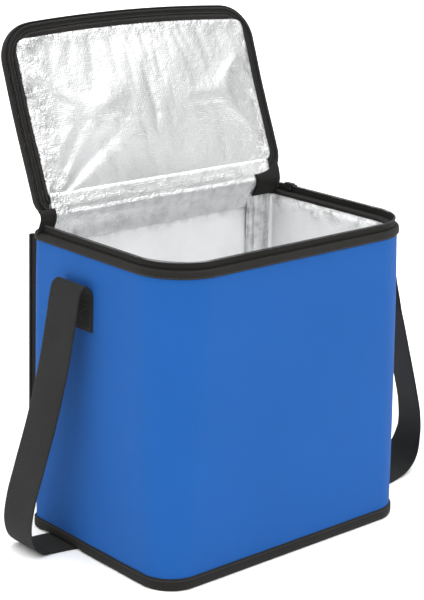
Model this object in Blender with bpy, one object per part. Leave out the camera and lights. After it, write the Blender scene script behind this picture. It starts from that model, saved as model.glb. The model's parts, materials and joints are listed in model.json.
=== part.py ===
"""Insulated cooler bag: a soft box with a foil-lined compartment and a zipped, hinged lid.

Metres, +Z up. The bag's front faces -Y, the lid hinges along the rear (+Y), and the width runs
along X. The origin is the middle of the base, at floor level. The lid is modelled shut and then
turned about its hinge to the rest pose, so the rim and the lid's edge match when it is closed.
"""
import math

import bmesh
import bpy
from mathutils import Matrix, Vector

MM = 0.001

# Driving sizes
WIDTH = 281 * MM
DEPTH = 183 * MM
WALL_TOP = 266.5 * MM
FRONT_RADIUS_TOP = 45 * MM
FRONT_RADIUS_BOTTOM = 29 * MM
REAR_RADIUS = 12 * MM
ARC_STEPS = 8

# Layers of the wall, as insets from the outer face of the wrap
WRAP = (0.0, 0.9 * MM)
FOAM = (1.2 * MM, 6.0 * MM)
LINER = (6.3 * MM, 7.1 * MM)

# Heights in the base
BASE_FABRIC = (2.0 * MM, 2.7 * MM)
BASE_BOARD = (3.0 * MM, 4.6 * MM)
BASE_FOAM = (4.9 * MM, 9.0 * MM)
LINER_FLOOR = (9.3 * MM, 10.1 * MM)

# Zip on the rim
TAPE = (2.0 * MM, 3.0 * MM)
TAPE_HEIGHTS = (268.3 * MM, 273.2 * MM)
COIL = (1.6 * MM, 3.4 * MM)
COIL_HEIGHTS = (273.5 * MM, 275.3 * MM)

# Lid and its hinge: heights over the hinge axis, distances forward of it
HINGE_Y = 77.5 * MM
HINGE_Z = 280 * MM
LID_OPEN = math.radians(110)
LID_REAR_GAP = 3 * MM
LID_REAR_RADIUS = 17 * MM
LID_FRAME = 13 * MM

# Rear pocket
POCKET_HALF = 132.5 * MM
POCKET_DEPTH = 11.5 * MM
POCKET_HEIGHTS = (45 * MM, 260.5 * MM)

# Shoulder strap
STRAP_WIDTH = 39 * MM
STRAP_THICK = 1.5 * MM
STRAP_STEPS = 5

# Zip slider, on the right side of the rim
SLIDER_Y = 66 * MM
SLIDER_LENGTH = 9 * MM
PULL_X = WIDTH / 2 + 2.7 * MM
PULL_Z = 273.3 * MM
PULL_LENGTH = 21 * MM


def clear_scene():
    for obj in list(bpy.data.objects):
        bpy.data.objects.remove(obj, do_unlink=True)


def material(name, colour, roughness, metallic=0.0):
    mat = bpy.data.materials.new(name)
    mat.use_nodes = True
    shader = mat.node_tree.nodes["Principled BSDF"]
    shader.inputs["Base Color"].default_value = (*colour, 1.0)
    shader.inputs["Roughness"].default_value = roughness
    shader.inputs["Metallic"].default_value = metallic
    return mat


def make_materials():
    return {
        "blue": material("blue_polyester", (0.027, 0.162, 0.571), 0.7),
        "black": material("black_polyester", (0.02, 0.019, 0.018), 0.75),
        "webbing": material("black_webbing", (0.022, 0.021, 0.02), 0.8),
        "foil": material("foil_lining", (0.8, 0.81, 0.82), 0.25, 1.0),
        "foam": material("insulation_foam", (0.75, 0.76, 0.76), 0.9),
        "board": material("base_board", (0.1, 0.1, 0.1), 0.6),
        "coil": material("zip_coil", (0.015, 0.015, 0.015), 0.45),
        "metal": material("zip_metal", (0.12, 0.12, 0.12), 0.35, 1.0),
    }


def add_node(name, bm, mat):
    bmesh.ops.recalc_face_normals(bm, faces=bm.faces)
    mesh = bpy.data.meshes.new(name)
    bm.to_mesh(mesh)
    bm.free()
    mesh.materials.append(mat)
    obj = bpy.data.objects.new(name, mesh)
    bpy.context.scene.collection.objects.link(obj)
    return obj


def arc(centre, radius, start, end):
    """Points of an arc in plan, from one angle in degrees to another."""
    points = []
    for i in range(ARC_STEPS + 1):
        angle = math.radians(start + (end - start) * i / ARC_STEPS)
        points.append((centre[0] + radius * math.cos(angle), centre[1] + radius * math.sin(angle)))
    return points


def rounded_outline(front, rear, front_radius, rear_radius, inset):
    """The plan of the bag or its lid, from the rear left corner round the front to the rear right."""
    side = WIDTH / 2
    fr, rr = max(front_radius - inset, 0.3 * MM), max(rear_radius - inset, 0.3 * MM)
    x_front, x_rear = side - inset - fr, side - inset - rr
    y_front, y_rear = front + inset + fr, rear - inset - rr
    return (
        arc((-x_rear, y_rear), rr, 90, 180)
        + arc((-x_front, y_front), fr, 180, 270)
        + arc((x_front, y_front), fr, 270, 360)
        + arc((x_rear, y_rear), rr, 0, 90)
    )


def body_outline(inset, z):
    share = min(max(z / WALL_TOP, 0.0), 1.0)
    radius = FRONT_RADIUS_BOTTOM + (FRONT_RADIUS_TOP - FRONT_RADIUS_BOTTOM) * share
    return rounded_outline(-DEPTH / 2, DEPTH / 2, radius, REAR_RADIUS, inset)


def lid_outline(inset, z):
    """The lid in plan when shut. Its height doesn't change its outline."""
    return rounded_outline(-DEPTH / 2, HINGE_Y - LID_REAR_GAP, FRONT_RADIUS_TOP, LID_REAR_RADIUS, inset)


def ring_mesh(outline, profile, closed=True, trim=0):
    """Sweeps a closed profile of (inset, z) round an outline. An open sweep runs round the front
    only, and leaves out `trim` arc points at each rear end."""
    bm = bmesh.new()
    columns = []
    for inset, z in profile:
        points = outline(inset, z)
        points = points[trim : len(points) - trim]
        columns.append([bm.verts.new((x, y, z)) for x, y in points])
    stations, sides = len(columns[0]), len(columns)
    for i in range(stations if closed else stations - 1):
        j = (i + 1) % stations
        for k in range(sides):
            m = (k + 1) % sides
            bm.faces.new((columns[k][i], columns[k][j], columns[m][j], columns[m][i]))
    if not closed:
        bm.faces.new([column[0] for column in columns])
        bm.faces.new([column[-1] for column in columns])
    return bm


def stack_mesh(outline, layers):
    """Joins outlines at successive (inset, z), with a flat cap on the first and on the last."""
    bm = bmesh.new()
    loops = [[bm.verts.new((x, y, z)) for x, y in outline(inset, z)] for inset, z in layers]
    for lower, upper in zip(loops, loops[1:]):
        for i, vert in enumerate(lower):
            j = (i + 1) % len(lower)
            bm.faces.new((vert, lower[j], upper[j], upper[i]))
    bm.faces.new(loops[0])
    bm.faces.new(loops[-1])
    return bm


def prism_mesh(points, start, end, axis):
    """Extrudes a closed outline of 2-D points from start to end along 'X', 'Y' or 'Z'."""
    bm = bmesh.new()
    place = {"X": lambda p, t: (t, p[0], p[1]), "Y": lambda p, t: (p[0], t, p[1]),
             "Z": lambda p, t: (p[0], p[1], t)}[axis]
    near = [bm.verts.new(place(p, start)) for p in points]
    far = [bm.verts.new(place(p, end)) for p in points]
    for i in range(len(points)):
        j = (i + 1) % len(points)
        bm.faces.new((near[i], near[j], far[j], far[i]))
    bm.faces.new(near)
    bm.faces.new(far)
    return bm


def box_mesh(low, high, bevel=0.0):
    bm = bmesh.new()
    bmesh.ops.create_cube(bm, size=1.0)
    size = Vector(high) - Vector(low)
    bmesh.ops.scale(bm, vec=size, verts=bm.verts)
    bmesh.ops.translate(bm, vec=(Vector(high) + Vector(low)) / 2, verts=bm.verts)
    if bevel:
        bmesh.ops.bevel(bm, geom=bm.edges[:], offset=bevel, segments=2, profile=0.5,
                        affect="EDGES", material=-1)
    return bm


def cylinder_mesh(centre, radius, length, steps=16):
    """A round bar along Y."""
    bm = bmesh.new()
    turn = Matrix.Translation(centre) @ Matrix.Rotation(math.radians(90), 4, "X")
    bmesh.ops.create_cone(bm, cap_ends=True, segments=steps, radius1=radius, radius2=radius,
                          depth=length, matrix=turn)
    return bm


def combine(target, name, bm, operation):
    """Cuts a helper from the target, or joins it on."""
    helper = add_node(name, bm, target.data.materials[0])
    helper.hide_render = True
    helper.display_type = "WIRE"
    step = target.modifiers.new(name, "BOOLEAN")
    step.operation = operation
    step.solver = "EXACT"
    step.object = helper


def make_walls(mats):
    def wall(name, layer, low, high, mat, closed=True):
        profile = [(layer[0], low), (layer[0], high), (layer[1], high), (layer[1], low)]
        return add_node(name, ring_mesh(body_outline, profile, closed), mat)

    wall("outer_wrap", WRAP, BASE_BOARD[0], WALL_TOP, mats["blue"], closed=False)
    wall("wall_foam", FOAM, BASE_BOARD[0], WALL_TOP, mats["foam"])
    half = WIDTH / 2 - REAR_RADIUS - 0.4 * MM
    rear = DEPTH / 2
    add_node("back_panel", box_mesh((-half, rear - WRAP[1], BASE_BOARD[0]), (half, rear, WALL_TOP)),
             mats["black"])
    cup = [(LINER[0], LINER_FLOOR[0]), (LINER[0], WALL_TOP), (LINER[1], WALL_TOP),
           (LINER[1], LINER_FLOOR[1])]
    add_node("foil_liner", stack_mesh(body_outline, cup), mats["foil"])


def make_base(mats):
    def layer(name, inset, heights, mat):
        add_node(name, stack_mesh(body_outline, [(inset, heights[0]), (inset, heights[1])]), mat)

    # The base fabric sags onto the floor inside the binding, except over the strap, which crosses it
    # at a slant.
    low, high = BASE_FABRIC
    inner = 7 * MM
    panel = stack_mesh(body_outline, [(inner, 0.0), (inner, low), (0.2 * MM, low), (0.2 * MM, high)])
    panel = add_node("base_panel", panel, mats["black"])
    layer("base_board", FOAM[1] + 0.3 * MM, BASE_BOARD, mats["board"])
    layer("base_foam", FOAM[1] + 0.3 * MM, BASE_FOAM, mats["foam"])
    profile = [(-1.4, 0.6), (-0.8, 0.0), (6.5, 0.0), (6.5, 1.5), (-0.3, 1.5), (-0.3, 10.2),
               (-0.7, 10.8), (-1.4, 10.2)]
    binding = add_node("bottom_binding", ring_mesh(body_outline, scaled(profile)), mats["black"])
    slant = math.atan2(UNDER_RIGHT_Y - UNDER_LEFT_Y, 2 * UNDER_X)
    reach, half = WIDTH * 0.6, STRAP_WIDTH / 2 + 1.5 * MM
    for target, name in ((panel, "panel_strap_gap"), (binding, "binding_strap_gap")):
        gap = box_mesh((-reach, -half, -MM), (reach, half, low - 0.05 * MM))
        bmesh.ops.rotate(gap, cent=(0, 0, 0), matrix=Matrix.Rotation(slant, 3, "Z"), verts=gap.verts)
        bmesh.ops.translate(gap, vec=(0, (UNDER_LEFT_Y + UNDER_RIGHT_Y) / 2, 0), verts=gap.verts)
        combine(target, name, gap, "DIFFERENCE")


def scaled(profile):
    return [(inset * MM, z * MM) for inset, z in profile]


def make_rim(mats):
    cap = [(-1.3, 261.5), (-0.3, 261.5), (-0.3, 266.9), (7.4, 266.9), (7.4, 264.5), (8.4, 264.5),
           (8.4, 267.6), (7.9, 268.0), (-0.8, 268.0), (-1.3, 267.5)]
    add_node("rim_binding", ring_mesh(body_outline, scaled(cap)), mats["black"])
    tape = [(TAPE[0], TAPE_HEIGHTS[0]), (TAPE[0], TAPE_HEIGHTS[1]), (TAPE[1], TAPE_HEIGHTS[1]),
            (TAPE[1], TAPE_HEIGHTS[0])]
    end = ARC_STEPS
    add_node("rim_zip_tape", ring_mesh(body_outline, tape, False, end), mats["black"])
    low, high = COIL_HEIGHTS
    bead = [(COIL[0], low + 0.4 * MM), (COIL[0], high - 0.4 * MM), (COIL[0] + 0.4 * MM, high),
            (COIL[1] - 0.4 * MM, high), (COIL[1], high - 0.4 * MM), (COIL[1], low + 0.4 * MM),
            (COIL[1] - 0.4 * MM, low), (COIL[0] + 0.4 * MM, low)]
    add_node("rim_zip_coil", ring_mesh(body_outline, bead, False, end), mats["coil"])


def make_pocket(mats):
    rear = DEPTH / 2
    low, high = POCKET_HEIGHTS
    outer = rear + POCKET_DEPTH
    half = POCKET_HALF
    add_node("pocket_panel", box_mesh((-half, outer, low), (half, outer + MM, high - 6 * MM)),
             mats["black"])
    # The gusset closes the pocket's sides and foot, and its mouth is open at the top.
    wall = 1.2 * MM
    path = [(-half, high), (-half, low), (half, low), (half, high), (half - wall, high),
            (half - wall, low + wall), (-half + wall, low + wall), (-half + wall, high)]
    add_node("pocket_gusset", prism_mesh(path, rear + 0.3 * MM, outer - 0.3 * MM, "Y"), mats["black"])
    lip = [(outer - 0.7 * MM, high - 5.7 * MM), (outer - 0.7 * MM, high), (outer + 1.6 * MM, high),
           (outer + 1.6 * MM, high - 5.7 * MM)]
    inner = half - wall - 0.3 * MM
    add_node("pocket_binding", prism_mesh(lip, -inner, inner, "X"), mats["black"])


def make_hinge(mats):
    """The lower, fixed half of the cloth hinge: it lies forward from the back, then stands up."""
    thick = 0.8 * MM
    front_y = HINGE_Y - thick / 2
    top = HINGE_Z - 0.5 * MM
    shelf = 268.4 * MM
    profile = [(front_y, shelf), (front_y, top), (front_y + thick, top),
               (front_y + thick, shelf + 2.2 * MM), (front_y + 2.4 * MM, shelf + thick),
               (DEPTH / 2 - 3 * MM, shelf + thick), (DEPTH / 2 - 3 * MM, shelf)]
    half = WIDTH / 2 - LID_FRAME - 5 * MM
    add_node("hinge_strip_body", prism_mesh(profile, -half, half, "X"), mats["foil"])
    for side, name in ((-1, "hinge_tab_left"), (1, "hinge_tab_right")):
        inner, outer = side * (half + 0.4 * MM), side * (WIDTH / 2 - 4.2 * MM)
        low = (min(inner, outer), front_y - 0.2 * MM, shelf)
        high = (max(inner, outer), front_y + thick + 0.2 * MM, top)
        add_node(name, box_mesh(low, high), mats["black"])


def make_lid(mats):
    """The lid, modelled shut and then opened about its hinge."""
    pieces = []

    def flat(name, layers, mat):
        world = [(inset * MM, HINGE_Z + up * MM) for inset, up in layers]
        pieces.append(add_node(name, stack_mesh(lid_outline, world), mat))

    def edge(name, profile, mat, closed=False, trim=2):
        world = [(inset * MM, HINGE_Z + up * MM) for inset, up in profile]
        pieces.append(add_node(name, ring_mesh(lid_outline, world, closed, trim), mat))

    flat("lid_cover", [(0.8, 4.5), (0.8, 5.3)], mats["blue"])
    flat("lid_foam", [(0.9, 0.9), (0.9, 4.2)], mats["foam"])
    flat("lid_foil", [(60, -4.2), (38, -3.6), (22, -2.3), (13.6, -0.6), (13.6, 0.6)], mats["foil"])
    edge("lid_binding", [(-0.5, -0.2), (-0.5, 6.0), (0.0, 6.5), (5.5, 6.5), (5.5, 5.6), (0.5, 5.6),
                         (0.5, -0.2)], mats["black"], closed=True, trim=0)
    edge("lid_zip_tape", [(1.2, -0.6), (1.2, 0.4), (8.2, 0.4), (8.2, -0.6)], mats["black"])
    edge("lid_zip_coil", [(1.6, -2.3), (1.6, -1.3), (2.0, -0.9), (3.0, -0.9), (3.4, -1.3),
                          (3.4, -2.3), (3.0, -2.7), (2.0, -2.7)], mats["coil"])
    edge("lid_seam_tape", [(8.6, -0.9), (8.6, 0.4), (13.1, 0.4), (13.1, -0.9)], mats["black"])
    half = WIDTH / 2 - LID_FRAME - 5 * MM
    near, far = HINGE_Y - 1.0 * MM, HINGE_Y - LID_REAR_GAP - 13.2 * MM
    strip = box_mesh((-half, far, HINGE_Z - 1.2 * MM), (half, near, HINGE_Z - 0.5 * MM))
    pieces.append(add_node("hinge_strip_lid", strip, mats["foil"]))

    axis = Vector((0, HINGE_Y, HINGE_Z))
    opened = Matrix.Translation(axis) @ Matrix.Rotation(-LID_OPEN, 4, "X") @ Matrix.Translation(-axis)
    hinge = bpy.data.objects.new("lid_hinge", None)
    bpy.context.scene.collection.objects.link(hinge)
    hinge.location = axis
    for piece in pieces:
        piece.data.transform(Matrix.Translation(-axis) @ opened)
        piece.parent = hinge


# The strap's centre line, as (x, y, z) by hand: up the left side from the sewn end, over the fold,
# down the outside, under the bag, and up the right side to the other sewn end.
STRAP_LEFT_Y, STRAP_RIGHT_Y = 24 * MM, -33 * MM
SEWN_X = WIDTH / 2 + 1.15 * MM
UNDER_X = SEWN_X + 4 * MM
UNDER_LEFT_Y, UNDER_RIGHT_Y = 46 * MM, -26.2 * MM
FLAT_Z = STRAP_THICK / 2
STRAP_ROUTE = [
    (-SEWN_X, STRAP_LEFT_Y, 0.1990),
    (-SEWN_X, STRAP_LEFT_Y, 0.2120),
    (-SEWN_X, STRAP_LEFT_Y, 0.2240),
    (-SEWN_X - 0.0020, STRAP_LEFT_Y, 0.2340),
    (-SEWN_X - 0.0072, STRAP_LEFT_Y, 0.2390),
    (-SEWN_X - 0.0125, STRAP_LEFT_Y, 0.2358),
    (-SEWN_X - 0.0150, STRAP_LEFT_Y, 0.2270),
    (-SEWN_X - 0.0178, 0.0247, 0.2080),
    (-SEWN_X - 0.0232, 0.0270, 0.1700),
    (-SEWN_X - 0.0320, 0.0312, 0.1230),
    (-SEWN_X - 0.0412, 0.0368, 0.0800),
    (-SEWN_X - 0.0464, 0.0415, 0.0500),
    (-SEWN_X - 0.0466, 0.0450, 0.0270),
    (-SEWN_X - 0.0405, 0.0474, 0.0110),
    (-SEWN_X - 0.0310, 0.0487, 0.0028),
    (-SEWN_X - 0.0205, 0.0489, FLAT_Z + 0.0001),
    *((-UNDER_X + 2 * UNDER_X * share, UNDER_LEFT_Y + (UNDER_RIGHT_Y - UNDER_LEFT_Y) * share, FLAT_Z)
      for share in (0.0, 0.08, 0.36, 0.64, 0.92, 1.0)),
    (SEWN_X + 0.0280, -0.0230, FLAT_Z + 0.0001),
    (SEWN_X + 0.0510, -0.0190, 0.0013),
    (SEWN_X + 0.0680, -0.0165, 0.0042),
    (SEWN_X + 0.0826, -0.0152, 0.0140),
    (SEWN_X + 0.0910, -0.0148, 0.0330),
    (SEWN_X + 0.0887, -0.0158, 0.0570),
    (SEWN_X + 0.0782, -0.0180, 0.0870),
    (SEWN_X + 0.0603, -0.0220, 0.1290),
    (SEWN_X + 0.0392, -0.0280, 0.1730),
    (SEWN_X + 0.0212, -0.0320, 0.2050),
    (SEWN_X + 0.0137, STRAP_RIGHT_Y, 0.2230),
    (SEWN_X + 0.0106, STRAP_RIGHT_Y, 0.2345),
    (SEWN_X + 0.0060, STRAP_RIGHT_Y, 0.2382),
    (SEWN_X + 0.0016, STRAP_RIGHT_Y, 0.2335),
    (SEWN_X, STRAP_RIGHT_Y, 0.2240),
    (SEWN_X, STRAP_RIGHT_Y, 0.2120),
    (SEWN_X, STRAP_RIGHT_Y, 0.1990),
]


def smooth_path(points, steps):
    """A centripetal curve through the points, so that unequal gaps between them don't overshoot."""
    points = [Vector(p) for p in points]
    points = [2 * points[0] - points[1], *points, 2 * points[-1] - points[-2]]
    curve = []
    for p0, p1, p2, p3 in zip(points, points[1:], points[2:], points[3:]):
        t0 = 0.0
        t1 = t0 + (p1 - p0).length ** 0.5
        t2 = t1 + (p2 - p1).length ** 0.5
        t3 = t2 + (p3 - p2).length ** 0.5
        for i in range(steps):
            t = t1 + (t2 - t1) * i / steps
            a1 = p0 * ((t1 - t) / (t1 - t0)) + p1 * ((t - t0) / (t1 - t0))
            a2 = p1 * ((t2 - t) / (t2 - t1)) + p2 * ((t - t1) / (t2 - t1))
            a3 = p2 * ((t3 - t) / (t3 - t2)) + p3 * ((t - t2) / (t3 - t2))
            b1 = a1 * ((t2 - t) / (t2 - t0)) + a2 * ((t - t0) / (t2 - t0))
            b2 = a2 * ((t3 - t) / (t3 - t1)) + a3 * ((t - t1) / (t3 - t1))
            curve.append(b1 * ((t2 - t) / (t2 - t1)) + b2 * ((t - t1) / (t2 - t1)))
    curve.append(points[-2])
    return curve


def make_strap(mats):
    """One flat ribbon of webbing. Its width stays nearly along Y all the way."""
    path = smooth_path(STRAP_ROUTE, STRAP_STEPS)
    bm = bmesh.new()
    rows = []
    for i, point in enumerate(path):
        ahead, behind = path[min(i + 1, len(path) - 1)], path[max(i - 1, 0)]
        along = (ahead - behind).normalized()
        across = (Vector((0, 1, 0)) - along * along.y).normalized() * STRAP_WIDTH / 2
        out = along.cross(across).normalized() * STRAP_THICK / 2
        corners = (point - across - out, point + across - out, point + across + out,
                   point - across + out)
        rows.append([bm.verts.new(corner) for corner in corners])
    for near, far in zip(rows, rows[1:]):
        for k in range(4):
            m = (k + 1) % 4
            bm.faces.new((near[k], near[m], far[m], far[k]))
    bm.faces.new(rows[0])
    bm.faces.new(rows[-1])
    add_node("shoulder_strap", bm, mats["webbing"])


def make_zip_hardware(mats):
    side = WIDTH / 2
    coil_x = side - (COIL[0] + COIL[1]) / 2
    low, high = 270.2 * MM, 276.7 * MM
    inner, outer = 1.3 * MM, 2.5 * MM
    roof = 275.7 * MM
    channel = [(coil_x - outer, low), (coil_x - outer, high - 0.5 * MM), (coil_x - outer + 0.5 * MM, high),
               (coil_x + outer - 0.5 * MM, high), (coil_x + outer, high - 0.5 * MM), (coil_x + outer, low),
               (coil_x + inner, low), (coil_x + inner, roof), (coil_x - inner, roof), (coil_x - inner, low)]
    y_low, y_high = SLIDER_Y - SLIDER_LENGTH / 2, SLIDER_Y + SLIDER_LENGTH / 2
    slider = add_node("zip_slider", prism_mesh(channel, y_low, y_high, "Y"), mats["metal"])
    # Two ears on the slider's outer face carry the pin that the pull hangs on.
    ear, gap = 0.9 * MM, 2.6 * MM
    for sign, name in ((-1, "ear_front"), (1, "ear_rear")):
        ends = sorted((SLIDER_Y + sign * gap, SLIDER_Y + sign * (gap + ear)))
        plate = box_mesh((coil_x + outer - 0.6 * MM, ends[0], PULL_Z - 1.2 * MM),
                         (PULL_X + 1.2 * MM, ends[1], PULL_Z + 1.2 * MM))
        combine(slider, name, plate, "UNION")
    pin = cylinder_mesh(Vector((PULL_X, SLIDER_Y, PULL_Z)), 0.5 * MM, 2 * gap + ear)
    combine(slider, "pull_pin", pin, "UNION")

    eye = cylinder_mesh(Vector((PULL_X, SLIDER_Y, PULL_Z)), 1.4 * MM, 4.4 * MM)
    pull = add_node("zip_pull", eye, mats["metal"])
    half = 2.1 * MM
    foot = PULL_Z - PULL_LENGTH
    blade = [(SLIDER_Y - half, PULL_Z - 0.9 * MM)]
    blade += [(SLIDER_Y + half * math.cos(a), foot + half + half * math.sin(a))
              for a in (math.pi + math.pi * i / 8 for i in range(9))]
    blade.append((SLIDER_Y + half, PULL_Z - 0.9 * MM))
    combine(pull, "pull_blade", prism_mesh(blade, PULL_X - 0.6 * MM, PULL_X + 0.6 * MM, "X"), "UNION")
    bore = cylinder_mesh(Vector((PULL_X, SLIDER_Y, PULL_Z)), 0.85 * MM, 8 * MM)
    combine(pull, "pull_bore", bore, "DIFFERENCE")

    # Small metal stops are pinched over the tape just past each end of the coil.
    for sign, name in ((-1, "zip_stop_left"), (1, "zip_stop_right")):
        x = sign * coil_x
        y = DEPTH / 2 - REAR_RADIUS + 0.4 * MM
        add_node(name, box_mesh((x - 1.3 * MM, y, 270.5 * MM), (x + 1.3 * MM, y + 2.2 * MM, 275.3 * MM),
                                0.3 * MM), mats["metal"])


def main():
    clear_scene()
    mats = make_materials()
    make_walls(mats)
    make_base(mats)
    make_rim(mats)
    make_pocket(mats)
    make_hinge(mats)
    make_lid(mats)
    make_strap(mats)
    make_zip_hardware(mats)


main()
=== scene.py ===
"""The looks of a soft insulated cooler bag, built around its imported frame.

Every piece is in metres, at rest, with its place in its mesh. The bag's front faces -Y and the lid
hinges along the rear. Lid pieces are shaped as if shut and then turned to the rest pose.
"""

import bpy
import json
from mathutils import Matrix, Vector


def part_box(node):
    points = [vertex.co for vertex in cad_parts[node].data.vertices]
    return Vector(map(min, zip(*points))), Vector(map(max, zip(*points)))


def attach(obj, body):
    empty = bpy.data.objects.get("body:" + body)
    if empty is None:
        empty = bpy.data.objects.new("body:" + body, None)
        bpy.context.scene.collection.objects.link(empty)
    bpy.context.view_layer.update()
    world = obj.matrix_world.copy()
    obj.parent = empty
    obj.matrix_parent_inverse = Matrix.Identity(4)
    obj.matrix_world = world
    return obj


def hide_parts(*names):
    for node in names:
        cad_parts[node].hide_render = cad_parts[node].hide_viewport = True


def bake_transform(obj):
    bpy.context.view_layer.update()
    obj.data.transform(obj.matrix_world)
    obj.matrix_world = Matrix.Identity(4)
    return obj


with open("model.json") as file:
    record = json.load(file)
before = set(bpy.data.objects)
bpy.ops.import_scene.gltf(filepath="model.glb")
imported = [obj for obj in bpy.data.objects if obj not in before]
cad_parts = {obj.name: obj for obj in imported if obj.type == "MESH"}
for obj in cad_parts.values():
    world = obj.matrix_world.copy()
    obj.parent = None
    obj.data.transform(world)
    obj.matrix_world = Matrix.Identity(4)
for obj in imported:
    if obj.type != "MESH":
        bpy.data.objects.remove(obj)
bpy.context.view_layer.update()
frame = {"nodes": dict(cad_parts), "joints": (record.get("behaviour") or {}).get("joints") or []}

import bisect
import json
import math

import bmesh
import bpy
from bpy.props import FloatProperty, FloatVectorProperty, PointerProperty
from mathutils import Matrix, Vector, noise

bl_info = {
    "name": "Insulated cooler bag",
    "version": (1, 0, 0),
    "blender": (4, 5, 0),
    "location": "View3D > Sidebar > Cooler bag",
    "description": "Builds the fabric, foil, zip and strap of a soft cooler bag",
    "category": "Object",
}

MM = 0.001

# Places taken from the frame
WRAP_LOW, WRAP_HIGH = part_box("outer_wrap")
HALF_WIDTH = WRAP_HIGH[0]
FRONT, REAR = WRAP_LOW[1], WRAP_HIGH[1]
WALL_FOOT, WALL_TOP = WRAP_LOW[2], WRAP_HIGH[2]
JOINTS = {joint["name"]: joint for joint in frame["joints"]}
HINGE = Vector(JOINTS["lid_hinge"]["pos_m"])
OPENED = Matrix.Translation(HINGE) @ Matrix.Rotation(
    -math.radians(JOINTS["lid_hinge"]["range_deg"][0]), 4, Vector(JOINTS["lid_hinge"]["axis"])
) @ Matrix.Translation(-HINGE)

# Corner radii and the strap's run. The body keeps to the frame; the soft lid's corners are its own.
RIM_RADIUS, FOOT_RADIUS, REAR_RADIUS = 45 * MM, 29 * MM, 12 * MM
LID_RADIUS, LID_REAR_LEFT, LID_REAR_RIGHT = 33 * MM, 13 * MM, 24 * MM
LID_REAR = HINGE.y - 3 * MM
SEWN_X = HALF_WIDTH + 1.15 * MM
STRAP_WIDTH, STRAP_THICK = 39 * MM, 1.5 * MM
UNDER_X = SEWN_X + 4 * MM
UNDER_LEFT_Y, UNDER_RIGHT_Y = 46 * MM, -26.2 * MM
FLAT_Z = STRAP_THICK / 2


# ---------------------------------------------------------------- properties

def colour_field(name, description, default):
    return FloatVectorProperty(name=name, description=description, default=default,
                               subtype="COLOR", size=3, min=0.0, max=1.0)


def length_field(name, description, default):
    return FloatProperty(name=name, description=description, default=default, min=0.0,
                         subtype="DISTANCE", unit="LENGTH", precision=5)


class CoolerColours(bpy.types.PropertyGroup):
    blue: colour_field("Blue", "Outer polyester", (0.0100, 0.0925, 0.345))
    black: colour_field("Black", "Back, pocket and base polyester", (0.011, 0.0107, 0.0103))
    binding: colour_field("Binding", "Binding tape on the edges", (0.0092, 0.0085, 0.0073))
    webbing: colour_field("Webbing", "Shoulder strap", (0.0100, 0.0105, 0.0099))
    foil: colour_field("Foil", "Lining film", (0.93, 0.935, 0.94))


class CoolerSizes(bpy.types.PropertyGroup):
    weave: length_field("Weave pitch", "Thread spacing of the outer polyester", 0.0007)
    crown: length_field("Panel crown", "How far each outer panel swells", 0.0016)
    pucker: length_field("Pucker", "Height of the gathers beside a sewn edge", 0.0004)
    crinkle: length_field("Crinkle", "Height of the creases in the foil", 0.0022)
    coil_pitch: length_field("Coil pitch", "Spacing of the zip coil's turns", 0.0013)
    stitch: length_field("Stitch length", "Length of one stitch", 0.0028)


# ---------------------------------------------------------------- plans and sweeps

class Plan:
    """A rounded box seen from above. A station names a place on its outline, wherever the inset
    and the height put that outline."""

    def __init__(self, front, rear, front_radius, rear_left, rear_right):
        self.front, self.rear = front, rear
        self.front_radius, self.rear_radii = front_radius, (rear_left, rear_right)

    def corner(self, index, z):
        """Centre, radius and first angle of a corner: rear left, front left, front right, rear right."""
        sx = -1 if index in (0, 1) else 1
        at_front = index in (1, 2)
        radius = self.front_radius(z) if at_front else self.rear_radii[index == 3]
        y = self.front + radius if at_front else self.rear - radius
        return Vector((sx * (HALF_WIDTH - radius), y)), radius, (90, 180, 270, 0)[index]

    def point(self, station, inset, z):
        kind, index, share = station
        if kind == "corner":
            centre, radius, first = self.corner(index, z)
            angle = math.radians(first + 90 * share)
            reach = max(radius - inset, 0.2 * MM)
            return centre + Vector((math.cos(angle), math.sin(angle))) * reach
        start = self.point(("corner", index, 1.0), inset, z)
        end = self.point(("corner", (index + 1) % 4, 0.0), inset, z)
        return start.lerp(end, share)

    def outward(self, station):
        kind, index, share = station
        first = (90, 180, 270, 0)[index]
        angle = math.radians(first + 90 * (share if kind == "corner" else 1.0))
        return Vector((math.cos(angle), math.sin(angle), 0.0))

    def line(self, stations, inset, z):
        """Points of the outline at one inset and height, and the way out at each."""
        points = [Vector((*self.point(station, inset, z), z)) for station in stations]
        return points, [self.outward(station) for station in stations]

    def stations(self, spacing, closed=True, rear_turn=1.0):
        """Stations in order from the rear left corner round the front. An open run starts and ends
        part way through the rear corners, and leaves out the rear side."""
        made = []
        for index in range(4):
            length = self.corner(index, WALL_TOP)[1] * math.pi / 2
            low = 1 - rear_turn if not closed and index == 0 else 0.0
            high = rear_turn if not closed and index == 3 else 1.0
            count = max(4, round(length / spacing)) if high > low else 0
            made += [("corner", index, low + (high - low) * i / count) for i in range(count)]
            if index == 3 and not closed:
                made.append(("corner", 3, high))
                break
            start = self.point(("corner", index, 1.0), 0, WALL_TOP)
            end = self.point(("corner", (index + 1) % 4, 0.0), 0, WALL_TOP)
            count = max(2, round((end - start).length / spacing))
            made += [("side", index, i / count) for i in range(count)]
        if closed:
            made.append(made[0])
        return made


def body_radius(z):
    share = min(max(z / WALL_TOP, 0.0), 1.0)
    return FOOT_RADIUS + (RIM_RADIUS - FOOT_RADIUS) * share


BODY = Plan(FRONT, REAR, body_radius, REAR_RADIUS, REAR_RADIUS)
LID = Plan(FRONT, LID_REAR, lambda z: LID_RADIUS, LID_REAR_LEFT, LID_REAR_RIGHT)


def distances(points):
    """Distance run so far at each point."""
    run = [0.0]
    for a, b in zip(points, points[1:]):
        run.append(run[-1] + (b - a).length)
    return run


def directions(points):
    """Which way a line runs at each of its points."""
    last = len(points) - 1
    return [(points[min(i + 1, last)] - points[max(i - 1, 0)]).normalized() for i in range(len(points))]


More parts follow.
